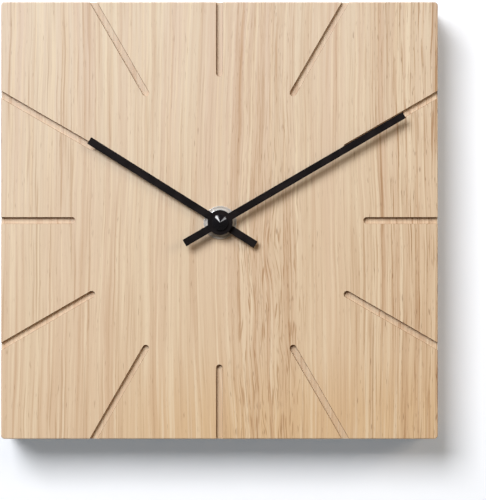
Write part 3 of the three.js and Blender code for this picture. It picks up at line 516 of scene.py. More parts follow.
STEM_HOLE_RADIUS = 5.1
STEM_HOLE_SIDES = 64
STEM_HOLE_EASE = 0.2
STEM_HOLE_FLARE_SHARE = 1.04
around = [math.tau * n / STEM_HOLE_SIDES for n in range(STEM_HOLE_SIDES)]
hole_ring = [(STEM_HOLE_RADIUS * math.cos(a), STEM_HOLE_RADIUS * math.sin(a)) for a in around]
wide_ring = [(x * STEM_HOLE_FLARE_SHARE, z * STEM_HOLE_FLARE_SHARE) for x, z in hole_ring]
hole_rings = [
    (POCKET_FLOOR - OVERRUN, hole_ring),
    (BLOCK_DEPTH - STEM_HOLE_EASE, hole_ring),
    (BLOCK_DEPTH + SKIM, wide_ring),
    (BLOCK_DEPTH + OVERRUN, wide_ring),
]
hole_cutter = cutter_of("hole_cutter", hole_rings)

milling, (blank, groove, count, pocket, hole, wood) = growing(
    "milling",
    {
        "Blank": "Geometry",
        "Groove": "Object",
        "Count": "Int",
        "Pocket": "Object",
        "Hole": "Object",
        "Wood": "Material",
    },
)
number = milling.add("GeometryNodeInputIndex")
grooves = milling.add(
    "GeometryNodeInstanceOnPoints",
    None,
    {
        "Points": milling.add("GeometryNodePoints", None, {"Count": count}),
        "Instance": shape_of(milling, groove),
        "Rotation": milling.add("ShaderNodeCombineXYZ", None, {"Y": number * math.tau / count}),
    },
)
grooves = milling.add("GeometryNodeRealizeInstances", None, {0: grooves})
pared = cut_out(milling, blank, grooves)
pared = cut_out(milling, pared, shape_of(milling, pocket))
pared = cut_out(milling, pared, shape_of(milling, hole))
full_grown(milling, pared, wood)

OAK_PINK = paint(221, 201, 181)
OAK_STRAW = paint(225, 210, 187)
OAK_TAN = paint(217, 185, 144)
OAK_SHADE = paint(192, 154, 119)
OAK_PALE = paint(236, 218, 188)
OAK_LINE = paint(165, 121, 78)
OAK_PORE = paint(124, 80, 46)
# Painted shade: the dark brown laid on the sides of the grooves.
OAK_GROOVE_SHADE = paint(106, 64, 26)
OAK_FRESH = paint(236, 204, 174)
PITH_X = 20.0
PITH_Y = 46.0
RING_WIDTH = 3.4
WILD_MIDDLE_X = 22.0
GRAIN_DEPTH = 0.05

oak = Finish("pale_oak")
spot = oak.about_axis()
x, y, z = oak.parts(spot)
# The grain runs upright, leans and wavers a little, and runs wild right of the middle.
wild = oak.between((x - WILD_MIDDLE_X).size(), 8.0, 22.0, 1.0, 0.0)
wild = wild * oak.between(z, -30.0, 60.0, 1.0, 0.3)
lean = oak.noise(oak.stretched(spot, (0.012, 0.012, 0.004)), 1.0) - 0.5
waver = oak.noise(oak.stretched(spot, (0.09, 0.09, 0.03)), 2.0) - 0.5
swirl = oak.noise(oak.stretched(oak.moved(spot, (0, 0, 300)), (0.13, 0.13, 0.03)), 1.0) - 0.5
grain_x = x + lean * 16.0 + waver * 2.0 + swirl * wild * 4.0
grain = oak.vector(grain_x, y, z)


def streak(width, length, seed, detail=1.0):
    """Noise drawn out along the grain, about this wide and long in millimetres."""
    factors = (1 / width, 1 / width, 1 / length)
    return oak.noise(oak.stretched(oak.moved(grain, (0, 0, seed)), factors), detail)


# The growth rings lie about the pith, which is deep behind the face. The early wood has the pores.
across = grain_x - PITH_X
deep = y - PITH_Y
ring = (across * across + deep * deep) ** 0.5 / RING_WIDTH + streak(30, 400, 50) * 2.0
ring_phase = ring.fraction()
early = oak.between(ring_phase, 0.0, 0.12) * oak.between(ring_phase, 0.15, 0.6, 1.0, 0.0)
# The face is busier on its right, and at its left edge.
right_side = oak.between(x, 52.0, 86.0)
left_side = oak.between(x, -85.0, -30.0, 1.0, 0.0)
busy = wild.most(right_side)
# Broad pink and straw bands, turning to tan towards the lower right
broad = oak.between(streak(11, 320, 5200), 0.36, 0.64)
tone = 0.5 * broad + 0.5 * oak.between(streak(3.6, 260, 0), 0.34, 0.66)
# Towards the lower right, away from the key lamp, the tan is partly the wood's own tone and partly
# painted shade.
tan_and_falloff_shade = oak.between(x * 0.42 - z, -190.0, 190.0)
colour = oak.mix(tone, OAK_PINK, OAK_STRAW)
low_middle = oak.between(z, -98.0, -50.0, 1.0, 0.0) * oak.between(x, -66.0, -8.0)
colour = oak.mix(tan_and_falloff_shade * 0.82 + low_middle * 0.3, colour, OAK_TAN)
# Brown edges of the growth rings, some of them faint
rings = oak.between(ring_phase, 0.0, 0.03) * oak.between(ring_phase, 0.05, 0.2, 1.0, 0.0)
rings = 0.7 * rings + 0.3 * early
uneven = oak.noise(oak.vector(ring.whole() * 3.7, 0.0, z * 0.012), 1.0)
rings = rings * oak.between(uneven, 0.36, 0.6) * (0.12 + 0.44 * right_side)
# Soft darker and paler streaks, then the brown lines
shadows = oak.between(streak(1.7, 150, 700), 0.42, 0.72) * 0.5
shadows = shadows + oak.between(streak(0.75, 60, 900, 2.0), 0.42, 0.72) * 0.45
colour = oak.mix(shadows * (0.42 + 0.25 * busy + 0.2 * early), colour, OAK_SHADE)
paler = oak.between(streak(1.1, 90, 1300), 0.46, 0.72) * 0.5
colour = oak.mix(paler, colour, OAK_PALE)
lines = oak.between(streak(0.95, 70, 1700), 0.61, 0.7)
lines = lines * (0.2 + 0.16 * left_side + 0.26 * wild + 0.6 * right_side)
colour = oak.mix(lines.most(rings), colour, OAK_LINE)
# Slanted strokes where the grain is wild, and fine threads and open pores
slant_x = grain_x + (streak(9, 40, 3600) - 0.5) * wild * 7.0
slanted = oak.stretched(oak.vector(slant_x, y, z + 4000.0), (1.5, 1.5, 0.07))
strokes = oak.between(oak.noise(slanted, 1.0), 0.57, 0.68) * wild * 0.68
threads = oak.between(streak(0.5, 30, 2100), 0.56, 0.72) * (0.15 + 0.52 * busy)
colour = oak.mix(threads.most(strokes), colour, OAK_LINE)
pores = oak.between(streak(0.5, 6, 2600), 0.62, 0.76) * (0.15 + 0.3 * early + 0.38 * busy)
colour = oak.mix(pores, colour, OAK_PORE)
# Inside the grooves the wood is a little paler, as freshly cut, but not at their lips.
facing = oak.parts(oak.add("ShaderNodeTexCoord", output="Normal"))
sideways = oak.between(facing[1].size(), 0.45, 0.995, 1.0, 0.0)
end_grain = oak.between(facing[2].size(), 0.6, 0.95)
rim = (x - BLOCK_SHIFT_X).size().most((z - BLOCK_SHIFT_Z).size())
above_floor = -1.0 * y - (BLOCK_DEPTH - GROOVE_DEPTH)
in_groove = oak.between(above_floor, -0.15, -0.05)
in_groove = in_groove * oak.between(rim, BLOCK_HALF - 0.8, BLOCK_HALF - 0.4, 1.0, 0.0)
fresh = in_groove * oak.between(above_floor, GROOVE_DEPTH - 0.4, GROOVE_DEPTH - 0.1, 1.0, 0.0)
colour = oak.mix(fresh * 0.2, colour, OAK_FRESH)
# The grooves' sides are painted dark brown, as painted shade that deepens the shadows in the
# grooves.
colour = oak.mix(sideways * in_groove * 0.66, colour, OAK_GROOVE_SHADE)
colour = oak.mix(end_grain * oak.between(early, 0.1, 0.8) * 0.5, colour, OAK_LINE)
relief = 1.0 - pores - 0.4 * lines - 0.4 * threads + 0.25 * streak(0.7, 30, 3100, 2.0)
oak.surface(
    colour,
    0.56 + 0.2 * pores + 0.12 * shadows,
    oak.bump(relief, GRAIN_DEPTH),
    Specular_IOR_Level=0.3,
)

block_sizes = {
    "Groove": groove_cutter,
    "Count": GROOVE_COUNT,
    "Pocket": pocket_cutter,
    "Hole": hole_cutter,
    "Wood": oak.material,
}
block_mesh = grown("oak_block", block_blank, milling, block_sizes)
for cutter in (groove_cutter, pocket_cutter, hole_cutter):
    bpy.data.objects.remove(cutter)
block_mesh.transform(Matrix.Translation((BLOCK_SHIFT_X, 0, BLOCK_SHIFT_Z)))
oak_block = finished("oak_block", block_mesh, None, "clock", ["oak_body"], sharp=28.0)
even = oak_block.modifiers.new("even_normals", "WEIGHTED_NORMAL")
even.keep_sharp = True


# The front half of the works' case is moulded in black plastic with a fine spark-eroded grain. Its
# hollow threaded stem goes through the hole in the wood and carries the clamping nut.
STEM_RADIUS = 4.0
THREAD_PITCH = 0.75
THREAD_DEPTH = 0.4
THREAD_START = 20.0
EDGE_STEPS = 2
MERGE_WITHIN = 0.000001
FLAT_WITHIN = math.radians(1)
EDGE_FROM = math.radians(40)
PIT_DEPTH = 0.02


def copied(node):
    """A copy of a solid's mesh, joined up, in millimetres about the hands' axis."""
    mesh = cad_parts[node].data.copy()
    solid = bmesh.new()
    solid.from_mesh(mesh)
    bmesh.ops.remove_doubles(solid, verts=solid.verts, dist=MERGE_WITHIN)
    bmesh.ops.dissolve_limit(
        solid, angle_limit=FLAT_WITHIN, verts=solid.verts, edges=solid.edges
    )
    solid.to_mesh(mesh)
    solid.free()
    mesh.transform(TO_FRAME.inverted())
    return mesh


def eased(name, node, finish, body, ease):
    """The solid again with its edges rounded, as moulding, stamping and tumbling leave them."""
    piece = finished(name, copied(node), finish, body, [node], sharp=30.0)
    rounding = piece.modifiers.new("rounded_edges", "BEVEL")
    rounding.width = ease / METRE
    rounding.segments = EDGE_STEPS
    rounding.limit_method = "ANGLE"
    rounding.angle_limit = EDGE_FROM
    rounding.harden_normals = True
    return piece


def moulded(name, colour, shade, grain, roughness, threaded=False):
    """Moulded plastic: a spark-eroded grain, faint flow marks and a little dust in the hollows."""
    plastic = Finish(name)
    spot = plastic.place()
    pits = plastic.even_noise(spot, grain)
    flow = plastic.noise(plastic.stretched(spot, (0.12, 0.12, 0.05)), 2.0)
    tint = plastic.mix(plastic.between(flow, 0.35, 0.65), colour, shade)
    tint = plastic.mix(plastic.between(pits, 0.5, 0.8) * 0.35, tint, shade)
    rough = roughness + 0.16 * (flow - 0.5) + 0.1 * (pits - 0.5)
    relief = plastic.bump(pits, PIT_DEPTH)
    if threaded:
        relief = plastic.bump(stem_thread(plastic), THREAD_DEPTH, relief)
    plastic.surface(tint, rough, relief)
    return plastic


def stem_thread(plastic):
    """The height of a screw thread on the stem, and nothing anywhere else."""
    x, y, z = plastic.parts(plastic.about_axis())
    from_axis = (x * x + z * z) ** 0.5
    turn = z.maths("ARCTAN2", z, x) / math.tau
    thread = ((-1.0 * y) / THREAD_PITCH + turn).fraction() - 0.5
    on_stem = plastic.between(from_axis, STEM_RADIUS - 0.1, STEM_RADIUS + 0.12, 1.0, 0.0)
    on_stem = on_stem * plastic.between(-1.0 * y, THREAD_START, THREAD_START + 0.2)
    return thread.size() * on_stem


CASE_BLACK = (paint(34, 34, 36), paint(50, 50, 53))
case_plastic = moulded("case_plastic", *CASE_BLACK, grain=2.6, roughness=0.5, threaded=True)
eased("case_front", "case_front_shell", case_plastic, "clock", ease=0.18)


# The train plate carries the wheels' pins and is moulded in undyed plastic. It lies inside the
# shell, screwed down together with the circuit board.
PLATE_CREAM = (paint(214, 210, 198), paint(196, 190, 176))
plate_plastic = moulded("plate_plastic", *PLATE_CREAM, grain=1.6, roughness=0.42)
eased("wheel_plate", "train_plate", plate_plastic, "clock", ease=0.12)


# The step motor: two pole pieces and a core of soft iron, punched from sheet and left dull in
# patches, a bobbin wound with enamelled copper wire, and a small round magnet on the rotor.
def metal(name, colour, shade, roughness, lay, relief):
    """Bare metal with the lay of its rolling or turning, and duller patches."""
    sheet = Finish(name)
    spot = sheet.place()
    lines = sheet.noise(sheet.stretched(spot, lay), 2.0)
    patches = sheet.even_noise(spot, 0.5, 3.0)
    dull = sheet.between(patches, 0.42, 0.66)
    tint = sheet.mix(dull * 0.6 + 0.3 * lines, colour, shade)
    rough = roughness + 0.14 * dull + 0.12 * (lines - 0.5)
    sheet.surface(tint, rough, sheet.bump(lines, relief), Metallic=1.0)
    return sheet


ENAMEL_COPPER = (paint(176, 96, 52), paint(132, 62, 34))
copper_enamel = Finish("copper_enamel")
spot = copper_enamel.place()
patches = copper_enamel.even_noise(spot, 0.7)
copper_enamel.surface(
    copper_enamel.mix(patches, *ENAMEL_COPPER),
    0.26 + 0.2 * patches,
    copper_enamel.bump(copper_enamel.even_noise(spot, 9.0), 0.01),
    Metallic=0.85,
)
WIRE_STEPS = 20
WIRE_SIDES = 6


def wound(name, node, radius, start, end, wire, turns, axis_out, axis_z):
    """Wire laid turn by turn round a rod that lies across the case."""
    winding, (count, reach, length, gauge, enamel) = growing(
        name,
        {
            "Turns": "Float",
            "Radius": "Float",
            "Length": "Float",
            "Wire": "Float",
            "Enamel": "Material",
        },
    )
    helix = winding.add(
        "GeometryNodeCurveSpiral",
        None,
        {
            "Resolution": WIRE_STEPS,
            "Rotations": count,
            "Start Radius": reach,
            "End Radius": reach,
            "Height": length,
        },
    )
    section = winding.add(
        "GeometryNodeCurvePrimitiveCircle", None, {"Resolution": WIRE_SIDES, "Radius": gauge}
    )
    body = winding.add(
        "GeometryNodeCurveToMesh",
        None,
        {"Curve": helix, "Profile Curve": section, "Fill Caps": True},
    )
    full_grown(winding, body, enamel)
    sizes = {
        "Turns": float(turns),
        "Radius": radius - wire,
        "Length": end - start,
        "Wire": wire,
        "Enamel": copper_enamel.material,
    }
    mesh = grown(name, bpy.data.meshes.new(name), winding, sizes)
    outward(mesh)
    laid = Matrix.Translation((start, -axis_out, axis_z)) @ Matrix.Rotation(QUARTER_TURN, 4, "Y")
    mesh.transform(laid)
    return finished(name, mesh, None, "clock", [node], sharp=50.0)


IRON_GREY = (paint(168, 166, 162), paint(120, 116, 110))
soft_iron = metal("soft_iron", *IRON_GREY, roughness=0.38, lay=(0.3, 6, 6), relief=0.01)
for node in ("upper_pole_piece", "lower_pole_piece", "coil_core"):
    eased(node.replace("piece", "plate"), node, soft_iron, "clock", ease=0.06)
BOBBIN_WHITE = (paint(226, 222, 210), paint(206, 200, 186))
bobbin_plastic = moulded("bobbin_plastic", *BOBBIN_WHITE, grain=3.0, roughness=0.4)
eased("motor_bobbin", "coil_bobbin", bobbin_plastic, "clock", ease=0.08)
wound(
    "motor_winding",
    "coil_winding",
    radius=3.2,
    start=-22.2,
    end=-10.8,
    wire=0.16,
    turns=34,
    axis_out=10.5,
    axis_z=-15.19,
)
MAGNET_GREY = (paint(92, 92, 96), paint(64, 64, 68))
magnet_grey = metal("magnet_grey", *MAGNET_GREY, roughness=0.34, lay=(2, 2, 2), relief=0.01)
eased("rotor_disc", "rotor_magnet", magnet_grey, "rotor", ease=0.06)


# The wheels are moulded in slippery undyed plastic, each in one with its pinion. Their teeth
# stay crisp, and the plastic is faintly clouded.
def wheel_plastic(name, colour, shade):
    acetal = Finish(name)
    spot = acetal.place()
    clouds = acetal.even_noise(spot, 0.35)
    specks = acetal.even_noise(spot, 3.0, 1.0)
    tint = acetal.mix(acetal.between(clouds, 0.35, 0.65), colour, shade)
    acetal.surface(tint, 0.3 + 0.2 * specks, acetal.bump(specks, 0.008))
    return acetal


acetal_white = wheel_plastic("acetal_white", paint(232, 230, 222), paint(218, 214, 204))
acetal_amber = wheel_plastic("acetal_amber", paint(226, 214, 186), paint(210, 196, 166))
for node, body, finish in (
    ("rotor_pinion", "rotor", acetal_white),
    ("drive_wheel", "drive_arbor", acetal_amber),
    ("third_wheel", "third_arbor", acetal_white),
    ("centre_wheel", "minute_arbor", acetal_amber),
    ("motion_wheel", "motion_arbor", acetal_white),
    ("hour_wheel", "hour_arbor", acetal_amber),
):
    eased(node.replace("wheel", "gear"), node, finish, body, ease=0.04)


# The circuit board is glass laminate under green lacquer that its tracks show through. It carries
# the receiver, a crystal in a metal can, the lamp and sensor that find the hands' place, and a
# switch under each button.
TRACK_PITCH = 1.27
TRACK_HALF_SHARE = 0.14
TRACK_RISE = 0.03
LACQUER_GREEN = (paint(20, 84, 52), paint(14, 66, 42))
TRACK_GREEN = paint(48, 128, 78)
lacquer = Finish("solder_mask")
spot = lacquer.place()
x, y, z = lacquer.parts(spot)
# Tracks run upright in some fields of the board and across in others.
jog = lacquer.even_noise(spot, 0.16, 0.0)
lanes_x = (x / TRACK_PITCH + (jog * 6.0).whole()).fraction() - 0.5
lanes_z = (z / TRACK_PITCH + (jog * 5.0).whole()).fraction() - 0.5
upright = lacquer.between(jog, 0.49, 0.51)
lane = lanes_x.size() * upright + lanes_z.size() * (1.0 - upright)
track = lacquer.between(lane, TRACK_HALF_SHARE, TRACK_HALF_SHARE + 0.06, 1.0, 0.0)
weave = lacquer.even_noise(spot, 4.0, 1.0)
tint = lacquer.mix(track * 0.6, lacquer.mix(weave, *LACQUER_GREEN), TRACK_GREEN)
lacquer.surface(tint, 0.24 + 0.12 * weave, lacquer.bump(track, TRACK_RISE))
eased("board", "circuit_board", lacquer, "clock", ease=0.05)
EPOXY_BLACK = (paint(30, 31, 33), paint(42, 43, 46))
epoxy = moulded("chip_epoxy", *EPOXY_BLACK, grain=4.0, roughness=0.6)
for node in ("receiver_chip", "light_sensor", "set_switch", "receive_switch", "reset_switch"):
    eased(node + "_body", node, epoxy, "clock", ease=0.08)
NICKEL = (paint(206, 204, 198), paint(176, 172, 164))
nickel_can = metal("nickel_can", *NICKEL, roughness=0.22, lay=(2, 0.3, 2), relief=0.006)
eased("crystal_can", "quartz_crystal", nickel_can, "clock", ease=0.15)
CERAMIC_BROWN = (paint(150, 118, 88), paint(128, 98, 72))
ceramic = moulded("brown_ceramic", *CERAMIC_BROWN, grain=5.0, roughness=0.5)
eased("tuning_ceramic", "tuning_capacitor", ceramic, "clock", ease=0.06)
LENS_CLOUDY = (paint(222, 224, 220), paint(200, 204, 200))
lens_plastic = moulded("lens_plastic", *LENS_CLOUDY, grain=1.0, roughness=0.12)
eased("lamp_lens", "position_lamp", lens_plastic, "clock", ease=0.1)


# The time signal is caught by a ferrite rod with a coil of fine enamelled wire on its middle. The
# rod is pressed and fired, so its surface is dark grey, chalky and slightly pitted.
FIRED_GREY = (paint(62, 62, 66), paint(46, 46, 50))
rod_grey = moulded("fired_ferrite", *FIRED_GREY, grain=5.5, roughness=0.68)
eased("aerial_rod", "ferrite_rod", rod_grey, "clock", ease=0.2)
wound(
    "aerial_coil",
    "antenna_coil",
    radius=4.6,
    start=-10.8,
    end=10.8,
    wire=0.2,
    turns=52,
    axis_out=11.8,
    axis_z=20.8,
)


# Four self-tapping screws hold the case together and four smaller ones hold the board. They are
# zinc plated, with a pan head and a cross recess, and their threads have cut their own way in.
AXIS_DOT = 0.01


def turned(name, profile, sides, x=0.0, z=0.0, bored=False):
    """A turned body about an axis towards the room. The profile is (radius, out), from the rear.

    A radius of zero becomes a tiny ring, so that the ends close."""
    around = [math.tau * n / sides for n in range(sides)]
    rings = []
    for radius, out in profile:
        reach = max(radius, AXIS_DOT)
        rings.append((out, [(x + reach * math.cos(a), z + reach * math.sin(a)) for a in around]))
    return stacked(name, rings, bored)


SCREW_SIDES = 32
SCREW_PITCH = 0.7
CORE_SHARE = 0.8


def screw_blank(name, head_radius, head_height, shank_radius, length):
    """A pan head with its top at out 0, and a shank with rings for its thread."""
    core = shank_radius * CORE_SHARE
    profile = [
        (0.0, 0.0),
        (head_radius * 0.55, 0.03),
        (head_radius * 0.84, 0.14),
        (head_radius * 0.97, 0.34),
        (head_radius, 0.55),
        (head_radius, head_height),
        (core, head_height),
    ]
    out = head_height + SCREW_PITCH / 2
    while out < head_height + length - SCREW_PITCH:
        profile += [(core, out), (shank_radius, out + SCREW_PITCH / 2)]
        out += SCREW_PITCH
    profile += [(shank_radius * 0.7, head_height + length - SCREW_PITCH / 2)]
    profile += [(shank_radius * 0.2, head_height + length)]
    return turned(name, profile, SCREW_SIDES)


RECESS_DEPTH = 0.5
RECESS_OVERRUN = 0.2
RECESS_HALF_WIDTH = 0.17
RECESS_FLOOR_SHARE = 0.7
SCREW_TWIST = 0.7


def turned_fourfold(corners):
    """These corners and the same turned by one, two and three quarters."""
    outline = []
    for quarter in range(4):
        c, s = math.cos(quarter * QUARTER_TURN), math.sin(quarter * QUARTER_TURN)
        outline += [(a * c - b * s, a * s + b * c) for a, b in corners]
    return outline


def cross_recess(name, reach):
    """A cross with sides that draw in towards its bottom."""
    half = RECESS_HALF_WIDTH
    outline = turned_fourfold([(reach, -half), (reach, half), (half, half)])
    bottom = [(RECESS_FLOOR_SHARE * a, RECESS_FLOOR_SHARE * b) for a, b in outline]
    return cutter_of(name, [(-RECESS_OVERRUN, outline), (RECESS_DEPTH, bottom)])


ZINC_BRIGHT = (paint(206, 208, 210), paint(172, 176, 180))
zinc = metal("zinc_plate", *ZINC_BRIGHT, roughness=0.3, lay=(1.4, 1.4, 1.4), relief=0.008)
driving, (places, screw, recess, plating) = growing(
    "screw_set",
    {"Places": "Geometry", "Screw": "Object", "Recess": "Object", "Plating": "Material"},
)
number = driving.add("GeometryNodeInputIndex")
driven = driving.add(
    "GeometryNodeInstanceOnPoints",
    None,
    {
        "Points": places,
        "Instance": cut_out(driving, shape_of(driving, screw), shape_of(driving, recess)),
        "Rotation": driving.add("ShaderNodeCombineXYZ", None, {"Y": number * SCREW_TWIST}),
    },
)
full_grown(driving, driven, plating)


def rear_middle(node):
    """The middle of a solid's rear end, in millimetres about the hands' axis."""
    low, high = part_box(node)
    middle = TO_FRAME.inverted() @ ((low + high) / 2)
    rear = TO_FRAME.inverted() @ high
    return middle.x, rear.y, middle.z


def screws(name, head_radius, head_height, shank_radius, length, recess_reach):
    """Four screws where the solids say, with their heads towards the wall."""
    nodes = [f"{name[:-1]}_{n}" for n in (1, 2, 3, 4)]
    spots = bpy.data.meshes.new(name + "_places")
    spots.from_pydata([rear_middle(node) for node in nodes], [], [])
    blank = screw_blank(name + "_blank", head_radius, head_height, shank_radius, length)
    screw = linked(name + "_screw", blank)
    recess = cross_recess(name + "_recess", recess_reach)
    sizes = {"Screw": screw, "Recess": recess, "Plating": zinc.material}
    mesh = grown(name, spots, driving, sizes)
    for helper in (screw, recess):
        bpy.data.objects.remove(helper)
    return finished(name, mesh, None, "clock", nodes)


screws(
    "board_screws",
    head_radius=1.6,
    head_height=0.8,
    shank_radius=0.85,
    length=5.0,
    recess_reach=0.85,
)
screws(
    "case_screws",
    head_radius=1.9,
    head_height=0.9,
    shank_radius=0.9,
    length=8.0,
    recess_reach=1.0,
)


# The battery's contacts are punched from nickel plated spring steel and pushed into slots at the
# ends of the bay.
SPRING_GREY = (paint(214, 208, 194), paint(184, 176, 160))
spring_nickel = metal("spring_nickel", *SPRING_GREY, roughness=0.2, lay=(4, 4, 0.5), relief=0.006)
eased("plus_spring", "plus_contact", spring_nickel, "clock", ease=0.08)
eased("minus_spring", "minus_contact", spring_nickel, "clock", ease=0.08)


# The rear half of the case closes the works. A plus and a minus are moulded on its back over the
# ends of the battery bay, and a low collar stands round each of the three buttons.
eased("case_rear", "case_rear_shell", case_plastic, "clock", ease=0.22)
CASE_REAR = 1.6
ROOTED = 0.3
BUTTON_HEIGHT = 14.0
BUTTONS_X = {"set": -11.0, "receive": 0.0, "reset": 11.0}
COLLAR_SIDES = 64
COLLAR_PROFILE = [
    (3.45, CASE_REAR + ROOTED),
    (3.45, 1.55),
    (3.36, 1.4),
    (3.15, 1.34),
    (2.95, 1.4),
    (2.86, 1.55),
    (2.86, CASE_REAR + ROOTED),
]
MARK_X = 20.0
MARK_HEIGHT = -18.6
MARK_RISE = 0.3
MARK_HALF = 1.9
MARK_BAR = 0.42
MARK_CORNER = 0.2
MARK_CORNER_STEPS = 3
MARK_TOP_SHARE = 0.92
plus_arm = [(MARK_HALF, -MARK_BAR), (MARK_HALF, MARK_BAR), (MARK_BAR, MARK_BAR)]
mark_outlines = {
    "minus_mark": (-MARK_X, rounded_outline(MARK_HALF, MARK_BAR, MARK_CORNER, MARK_CORNER_STEPS)),
    "plus_mark": (MARK_X, turned_fourfold(plus_arm)),
}
mark_levels = (
    (CASE_REAR + ROOTED, 1.0),
    (CASE_REAR - MARK_RISE * 0.6, 1.0),
    (CASE_REAR - MARK_RISE, MARK_TOP_SHARE),
)
for name, (x, outline) in mark_outlines.items():
    mark_rings = [
        (out, [(x + a * share, MARK_HEIGHT + b * share) for a, b in outline])
        for out, share in mark_levels
    ]
    finished(name, stacked(name, mark_rings), case_plastic, "clock")
for use, x in BUTTONS_X.items():
    name = use + "_collar"
    collar = turned(name, COLLAR_PROFILE, COLLAR_SIDES, x, BUTTON_HEIGHT, bored=True)
    finished(name, collar, case_plastic, "clock")


# Each button is a small round cap with a dished top, moulded in white, and in red for the reset.
# A flange round its foot keeps it in the case.
BUTTON_SIDES = 56
BUTTON_PROFILE = [
    (0.0, 1.32),
    (0.9, 1.27),
    (1.5, 1.16),
    (1.75, 1.1),
    (1.95, 1.14),
    (2.07, 1.24),
    (2.1, 1.4),
    (2.1, 2.9),
    (2.9, 2.9),
    (2.9, 3.3),
    (0.0, 3.3),
]
BUTTON_WHITE = (paint(226, 225, 220), paint(208, 206, 200))
BUTTON_RED = (paint(190, 44, 36), paint(164, 32, 28))
button_white = moulded("button_white", *BUTTON_WHITE, grain=2.2, roughness=0.34)
button_red = moulded("button_red", *BUTTON_RED, grain=2.2, roughness=0.34)
for use, finish, slot in (
    ("set", button_white, "white_plastic"),
    ("receive", button_white, "white_plastic"),
    ("reset", button_red, "red_plastic"),
):
    name = use + "_cap"
    node = use + "_button"
    x, _, z = rear_middle(node)
    cap = turned(name, BUTTON_PROFILE, BUTTON_SIDES, x, z)
    finished(name, cap, finish, node, [node], sharp=40.0)


# The hanger is a zinc plated steel strip, punched with a slot that closes upwards and cranked
# back so that it lies level with the back of the wood. A rubber washer under it grips the wood.
STRIP_ZINC = (paint(158, 162, 167), paint(128, 133, 140))
rolled_zinc = metal("rolled_zinc", *STRIP_ZINC, roughness=0.4, lay=(3.2, 3.2, 0.12), relief=0.012)
eased("hanger", "hanger_bracket", rolled_zinc, "clock", ease=0.12)
RUBBER_BLACK = (paint(28, 28, 28), paint(40, 39, 38))
rubber = moulded("black_rubber", *RUBBER_BLACK, grain=3.5, roughness=0.85)
eased("grip_washer", "rubber_washer", rubber, "clock", ease=0.15)


# The round nut that clamps the works to the wood is moulded in clear plastic, with a finely
# notched, beaded flange and a collar. It shows as a bright glassy ring behind the hands.
NUT_SIDES = 192
NUT_NOTCHES = 24
NOTCH_DEPTH = 0.22
NOTCH_SHARPNESS = 4
NUT_BORE = 4.12
NOTCHED_FROM = 7.2
NUT_PROFILE = [
    (NUT_BORE, 28.0),
    (7.45, 28.0),
    (7.62, 28.08),
    (7.68, 28.3),
    (7.66, 28.62),
    (7.5, 28.88),
    (7.25, 28.98),
    (7.02, 28.9),
    (6.86, 28.74),
    (6.55, 28.7),
    (6.38, 28.78),
    (6.3, 28.98),
    (6.3, 29.6),
    (6.22, 29.88),
    (6.02, 30.04),
    (5.76, 30.1),
    (4.4, 30.1),
    (4.2, 30.04),
    (NUT_BORE, 29.9),
]


def nut_ring(radius):
    """A circle about the axis, scalloped where it lies on the flange's rim."""
    ring = []
    for n in range(NUT_SIDES):
        angle = math.tau * n / NUT_SIDES
        dip = max(0.0, math.cos(angle * NUT_NOTCHES)) ** NOTCH_SHARPNESS * NOTCH_DEPTH
        reach = radius - dip if radius > NOTCHED_FROM else radius
        ring.append((reach * math.cos(angle), reach * math.sin(angle)))
    return ring


RIPPLE_DEPTH = 0.04
CLEAR_WHITE = (paint(252, 252, 250), paint(240, 241, 238))
clear = Finish("clear_plastic")
ripple = clear.even_noise(clear.place(), 0.5)
rim_glow = clear.add("ShaderNodeLayerWeight", None, {"Blend": 0.35}, output="Facing")
clear.surface(
    clear.mix(ripple, *CLEAR_WHITE),
    0.07 + 0.06 * ripple,
    clear.bump(ripple, RIPPLE_DEPTH),
    Alpha=0.4 + 0.55 * rim_glow,
    Specular_IOR_Level=1.0,
    Coat_Weight=1.0,
)
nut_rings = [(out, nut_ring(radius)) for radius, out in NUT_PROFILE]
nut_mesh = stacked("clamping_nut", nut_rings, bored=True)
finished("clamping_nut", nut_mesh, clear, "clock", ["clear_nut"], sharp=50.0)


# The hands are punched from thin sheet aluminium, painted satin black, and pressed on turned
# brass bushes. They have square ends.
PEEL_DEPTH = 0.006
HAND_BLACK = (paint(20, 16, 16), paint(29, 24, 24))
hand_black = Finish("satin_black")
spot = hand_black.place()
peel = hand_black.even_noise(spot, 2.4)
dust = hand_black.even_noise(spot, 0.25)
hand_black.surface(
    hand_black.mix(hand_black.between(dust, 0.35, 0.7), *HAND_BLACK),
    0.4 + 0.12 * dust,
    hand_black.bump(peel, PEEL_DEPTH),
    Specular_IOR_Level=0.07,
)
BRASS = (paint(198, 164, 96), paint(162, 128, 70))
brass = metal("turned_brass", *BRASS, roughness=0.26, lay=(0.4, 8, 0.4), relief=0.006)
for name in ("hour", "minute"):
    body = name + "_arbor"
    eased(name + "_bushing", name + "_bush", brass, body, ease=0.05)
    eased(name + "_pointer", name + "_hand", hand_black, body, ease=0.03)


# The cap nut closes the hands' axis. It is turned to a flat cone, blackened, and keeps the fine
# rings of the lathe, which draw the light out into two streaks from the tip.
CONE_BLACK = (paint(13, 11, 14), paint(20, 17, 21))
LATHE_FINENESS = 14.0
LATHE_DEPTH = 0.002
cone_black = Finish("blackened_cone")
spot = cone_black.about_axis()
x, y, z = cone_black.parts(spot)
from_axis = (x * x + z * z) ** 0.5
lathe_rings = (from_axis * LATHE_FINENESS).sine()
smear = cone_black.even_noise(spot, 1.2)
cone_black.surface(
    cone_black.mix(smear, *CONE_BLACK),
    0.12 + 0.07 * smear,
    cone_black.bump(lathe_rings, LATHE_DEPTH),
    Specular_IOR_Level=0.9,
)
CAP_SIDES = 96
CAP_REAR = 34.0
CONE_STEPS = 8
CONE_FOOT_RADIUS = 3.52
CONE_FOOT_OUT = 34.99
CONE_TOP_RADIUS = 0.22
CONE_TOP_OUT = 37.2
cap_profile = [
    (0.0, CAP_REAR),
    (3.56, CAP_REAR),
    (3.66, 34.05),
    (3.7, 34.16),
    (3.7, 34.72),
    (3.66, 34.86),
    (CONE_FOOT_RADIUS, CONE_FOOT_OUT),
]
